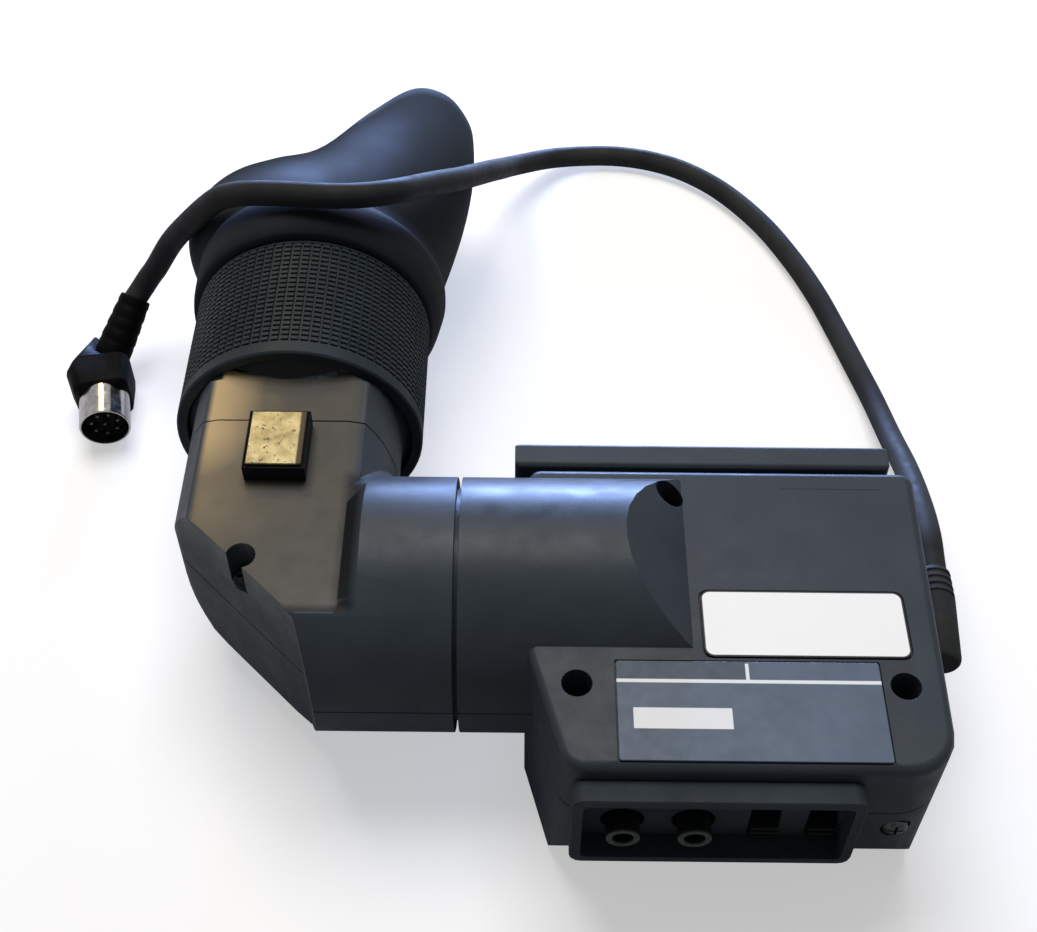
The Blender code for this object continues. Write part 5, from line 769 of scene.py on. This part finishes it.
def plug(look):
    """The round plug at the cable's end: chromed shell, black insert, contacts, body and ribbed boot."""
    pieces = []

    outer = [(0.0, 0.0061), (0.0, 0.0064), (0.0002, 0.0066), (0.0125, 0.0066), (0.0125, 0.0061), (0.0, 0.0061)]
    shell = spun("plug_chrome_shell", outer, PLUG_FACE, PLUG_WAY, look["chrome"], steps=72)
    pieces.append((shell, "plug_shell"))

    insert = [(0.0040, 0.0), (0.0040, 0.0056), (0.0043, 0.0058), (0.0078, 0.0058), (0.0078, 0.0)]
    disc = spun("plug_face_insert", insert, PLUG_FACE, PLUG_WAY, look["black"], steps=48)
    pieces.append((disc, "plug_insert"))
    pieces.append((refined("plug_pins", "plug_contact_pins", look["pin"], 0.0), "plug_pins"))
    pieces.append((plug_grip(look), "plug_body"))

    along = BOOT_TIP - BOOT_ROOT
    profile = ribbed(along.length, wide=0.0048, narrow=0.0041, ribs=4, first=0.25, sink=0.00014)
    boot = spun("plug_ribbed_boot", profile, BOOT_ROOT, along, look["cap"], steps=40)
    pieces.append((boot, "plug_boot"))
    for piece_made, node in pieces:
        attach(piece_made, "housing")
        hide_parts(node)
    return [piece_made for piece_made, node in pieces]


# Housing


KNOB_PLACES = (("bright_knob", "bright_knob", -0.0233), ("contrast_knob", "contrast_knob", -0.0089))
FRONT_SCREW_X, FRONT_SCREW_Z = 0.0324, 0.0270
RECESS_HALF_LENGTH, RECESS_HALF_WIDTH = 0.0016, 0.0003
RECESS_DEPTH, OVERRUN = 0.0009, 0.001


def housing(look):
    """The shells, the control bay, the rail, the plate, the sticker and the switches' thumb slides."""
    for node, name, finish, width in (
        ("upper_shell", "housing_upper_half", "shell", 0.0003),
        ("lower_shell", "housing_lower_half", "shell", 0.0003),
        ("control_panel", "control_bay", "panel", 0.0005),
        ("slide_rail", "back_slide_rail", "shell", 0.0004),
        ("label_plate", "bare_name_plate", "blue", 0.0001),
        ("blank_sticker", "bare_white_sticker", "white", 0.0),
        ("peaking_slider", "peaking_thumb_slide", "black", 0.0002),
        ("tally_slider", "tally_thumb_slide", "black", 0.0002),
    ):
        made = refined(node, name, look[finish], width)
        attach(made, {"peaking_slider": "peaking_switch", "tally_slider": "tally_switch"}.get(node, "housing"))


def knobs(look):
    """Two hollow-ended knobs, each a moulded sleeve with a rounded lip."""
    profile = [(0.0075, 0.0), (0.0075, 0.0034), (0.0073, 0.0035), (0.0004, 0.0035), (0.0001, 0.0034), (0.0, 0.0032),
               (0.0, 0.0024), (0.0002, 0.0022), (0.0029, 0.0022), (0.0030, 0.0020), (0.0030, 0.0)]
    for node, body, x in KNOB_PLACES:
        made = spun(body + "_sleeve", profile, (x, KNOB_FACE, KNOB_HEIGHT), (0, 1, 0), look["knob"], steps=48)
        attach(made, body)
        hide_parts(node)


def front_screw(look):
    """The screw beside the control bay: a low domed head with a cross recess."""
    low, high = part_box("front_screw")
    face, reach = low[1], high[1] - low[1]
    middle = Vector((FRONT_SCREW_X, face, FRONT_SCREW_Z))
    profile = [(0.0, 0.0), (0.0, 0.0008), (0.0001, 0.0016), (0.0004, 0.0022), (0.0008, 0.0026), (0.0020, 0.0026),
               (0.0020, 0.0013), (reach - 0.0013, 0.0013), (reach, 0.0008), (reach, 0.0)]
    head = spun("front_bay_screw", profile, middle, (0, 1, 0), look["screw"], steps=40)
    for half_x, half_z in ((RECESS_HALF_LENGTH, RECESS_HALF_WIDTH), (RECESS_HALF_WIDTH, RECESS_HALF_LENGTH)):
        near = (middle.x - half_x, face - OVERRUN, middle.z - half_z)
        far = (middle.x + half_x, face + RECESS_DEPTH, middle.z + half_z)
        arm = box("recess_arm", near, far, look["steel"])
        combine(head, arm, "DIFFERENCE")
    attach(head, "housing")
    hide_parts("front_screw")


# Elbow and catch


def elbow(look):
    """The elbow's halves and screw, the catch and the eyepiece's neck."""
    for node, name, finish, width, body in (
        ("elbow_upper_shell", "elbow_upper_half", "slate_painted_light", 0.0004, "elbow"),
        ("elbow_lower_shell", "elbow_lower_half", "slate_painted_light", 0.0004, "elbow"),
        ("catch_slider", "catch_button", "black", 0.0003, "catch"),
        ("catch_plate", "catch_brass_plate", "brass", 0.0002, "catch"),
        ("elbow_screw", "elbow_well_screw", "black", 0.0, "elbow"),
        ("eyepiece_base", "eyepiece_neck", "slate_painted_light", 0.0003, "eyepiece"),
    ):
        made = refined(node, name, look[finish], width)
        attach(made, body)


# Eyepiece


LOBE_SHARES = (0.965, 0.975, 1.0, 0.89, 0.53, 0.13, 0.065, 0.06, 0.04, 0.012, 0.0)
CUP_ROOT, CUP_RIM, LOBE_REACH = 0.1010, 0.1215, 0.0425
CUP_RADIUS = 0.0312
RIM_HALF_WIDTH_LEFT, RIM_HALF_WIDTH_RIGHT, RIM_HALF_HEIGHT = 0.0366, 0.0392, 0.0250
CUP_SWELL_SHARE = 0.62
CUP_WALL = 0.0020
COLLAR_INSIDE, COLLAR_LEDGE = 0.0272, 0.0285
RING_START, RING_END, BEZEL_END = 0.0482, 0.0858, 0.0522
STUD_FLOOR, STUD_CROWN = 0.0290, 0.0295
RING_BORE = 0.0270
STUD_GAP, STUD_SLOPE = 0.00020, 0.00014


def lobe_share(turn):
    """How far the rim reaches out at a turn from the long lobe, on a smooth curve through its shares."""
    steps = len(LOBE_SHARES) - 1
    place = abs((turn + math.pi) % (2 * math.pi) - math.pi) / math.pi * steps
    index = min(int(place), steps - 1)
    before, start, end, after = (
        LOBE_SHARES[min(abs(index + offset), 2 * steps - index - offset)] for offset in (-1, 0, 1, 2)
    )
    return smooth_between(before, start, end, after, place - index)


def eyecup(look):
    """The rubber cup. A spun form can't take its one-sided lobe, so it is a skin over measured rings."""
    sides, steps = 112, 18
    turns = [2 * math.pi * (step + 0.5) / sides for step in range(sides)]

    def level(y, radius, left=0.0, right=0.0):
        places = []
        for turn in turns:
            side = math.cos(turn)
            reach = radius - (right if side > 0 else left) * side ** 2
            places.append((AXIS_X + reach * side, y, AXIS_Z + reach * math.sin(turn)))
        return places

    def place(turn, share, depth):
        rim_y = CUP_RIM + LOBE_REACH * lobe_share(turn)
        half_width = RIM_HALF_WIDTH_RIGHT if math.cos(turn) > 0 else RIM_HALF_WIDTH_LEFT
        wide = CUP_RADIUS + (half_width - CUP_RADIUS) * math.sin(math.pi * CUP_SWELL_SHARE * share)
        tall = CUP_RADIUS + (RIM_HALF_HEIGHT - CUP_RADIUS) * share * share * (3 - 2 * share)
        y = CUP_ROOT + (rim_y - CUP_ROOT) * share
        return (AXIS_X + (wide - depth) * math.cos(turn), y, AXIS_Z + (tall - depth) * math.sin(turn))

    rings = [level(0.0868, COLLAR_LEDGE)]
    rings += [level(*row) for row in (
        (0.0868, 0.0304, 0.0000, 0.0004), (0.0872, 0.0312, 0.0004, 0.0009), (0.0880, 0.0320, 0.0010, 0.0012),
        (0.0890, 0.0327, 0.0016, 0.0014), (0.0904, 0.0332, 0.0021, 0.0013), (0.0920, 0.0334, 0.0023, 0.0011),
        (0.0945, 0.0334, 0.0023, 0.0006), (0.0965, 0.0332, 0.0021, 0.0000), (0.0981, 0.0328, 0.0016, -0.0003),
        (0.0993, 0.0322, 0.0010, -0.0003), (0.1000, 0.0317, 0.0005, 0.0000), (0.1005, 0.0314, 0.0002, 0.0000),
    )]
    for step in range(steps + 1):
        rings.append([place(turn, step / steps, 0.0) for turn in turns])
    for share, depth in ((1.008, 0.0004), (1.011, 0.0010), (1.008, 0.0016)):
        rings.append([place(turn, share, depth) for turn in turns])
    for step in range(steps, 0, -1):
        rings.append([place(turn, step / steps, CUP_WALL) for turn in turns])
    rings += [level(CUP_ROOT, COLLAR_INSIDE), level(0.0945, COLLAR_INSIDE), level(0.0939, COLLAR_INSIDE + 0.0002),
              level(0.0939, COLLAR_LEDGE)]
    cup = skin("eyecup_skin", rings, look["rubber"], angle=60)
    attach(cup, "eyepiece")
    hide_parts("eyecup")


def focus_ring(look):
    """The focus ring: a plain bezel, then rows of square studs, each raised from its own quad."""
    columns, rows = 80, 21
    start, bezel, floor, crown = RING_START, BEZEL_END, STUD_FLOOR, STUD_CROWN
    last = RING_END - 0.0006
    pitch = (last - bezel) / rows
    profile = [(start, RING_BORE), (start, floor), (start + 0.0002, 0.0293), (start + 0.0005, crown),
               (bezel - 0.0004, crown), (bezel - 0.0001, crown - 0.0002), (bezel, floor)]
    profile += [(bezel + pitch * row, floor) for row in range(1, rows + 1)]
    profile += [(last, crown - 0.0001), (RING_END, crown - 0.0002), (RING_END, RING_BORE), (start, RING_BORE)]
    ring = spun("focus_ring_studs", profile, (AXIS_X, 0, AXIS_Z), (0, 1, 0), look["grip"], columns, angle=30)
    deselect()
    ring.select_set(True)
    bpy.context.view_layer.objects.active = ring
    bpy.ops.object.mode_set(mode="EDIT")
    bpy.ops.mesh.select_all(action="DESELECT")
    bpy.ops.mesh.select_mode(type="FACE")
    cells = bmesh.from_edit_mesh(ring.data)
    for face in cells.faces:
        middle = face.calc_center_median()
        reach = math.hypot(middle.x - AXIS_X, middle.z - AXIS_Z)
        if bezel < middle.y < last and abs(reach - floor) < 0.0002:
            face.select_set(True)
    bmesh.update_edit_mesh(ring.data)
    bpy.ops.mesh.inset(thickness=STUD_GAP, use_individual=True)
    bpy.ops.mesh.inset(thickness=STUD_SLOPE, depth=crown - floor, use_individual=True)
    bpy.ops.mesh.select_mode(type="VERT")
    bpy.ops.object.mode_set(mode="OBJECT")
    bpy.ops.object.shade_smooth_by_angle(angle=math.radians(25))
    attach(ring, "focus_ring")
    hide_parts("focus_ring")


def build():
    place_camera()
    light_studio()
    look = finishes()
    lead, length = cable(look)
    dress_nodes(look)
    relief = strain_relief(look)
    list(plug(look))
    housing(look)
    knobs(look)
    front_screw(look)
    elbow(look)
    eyecup(look)
    focus_ring(look)


build()
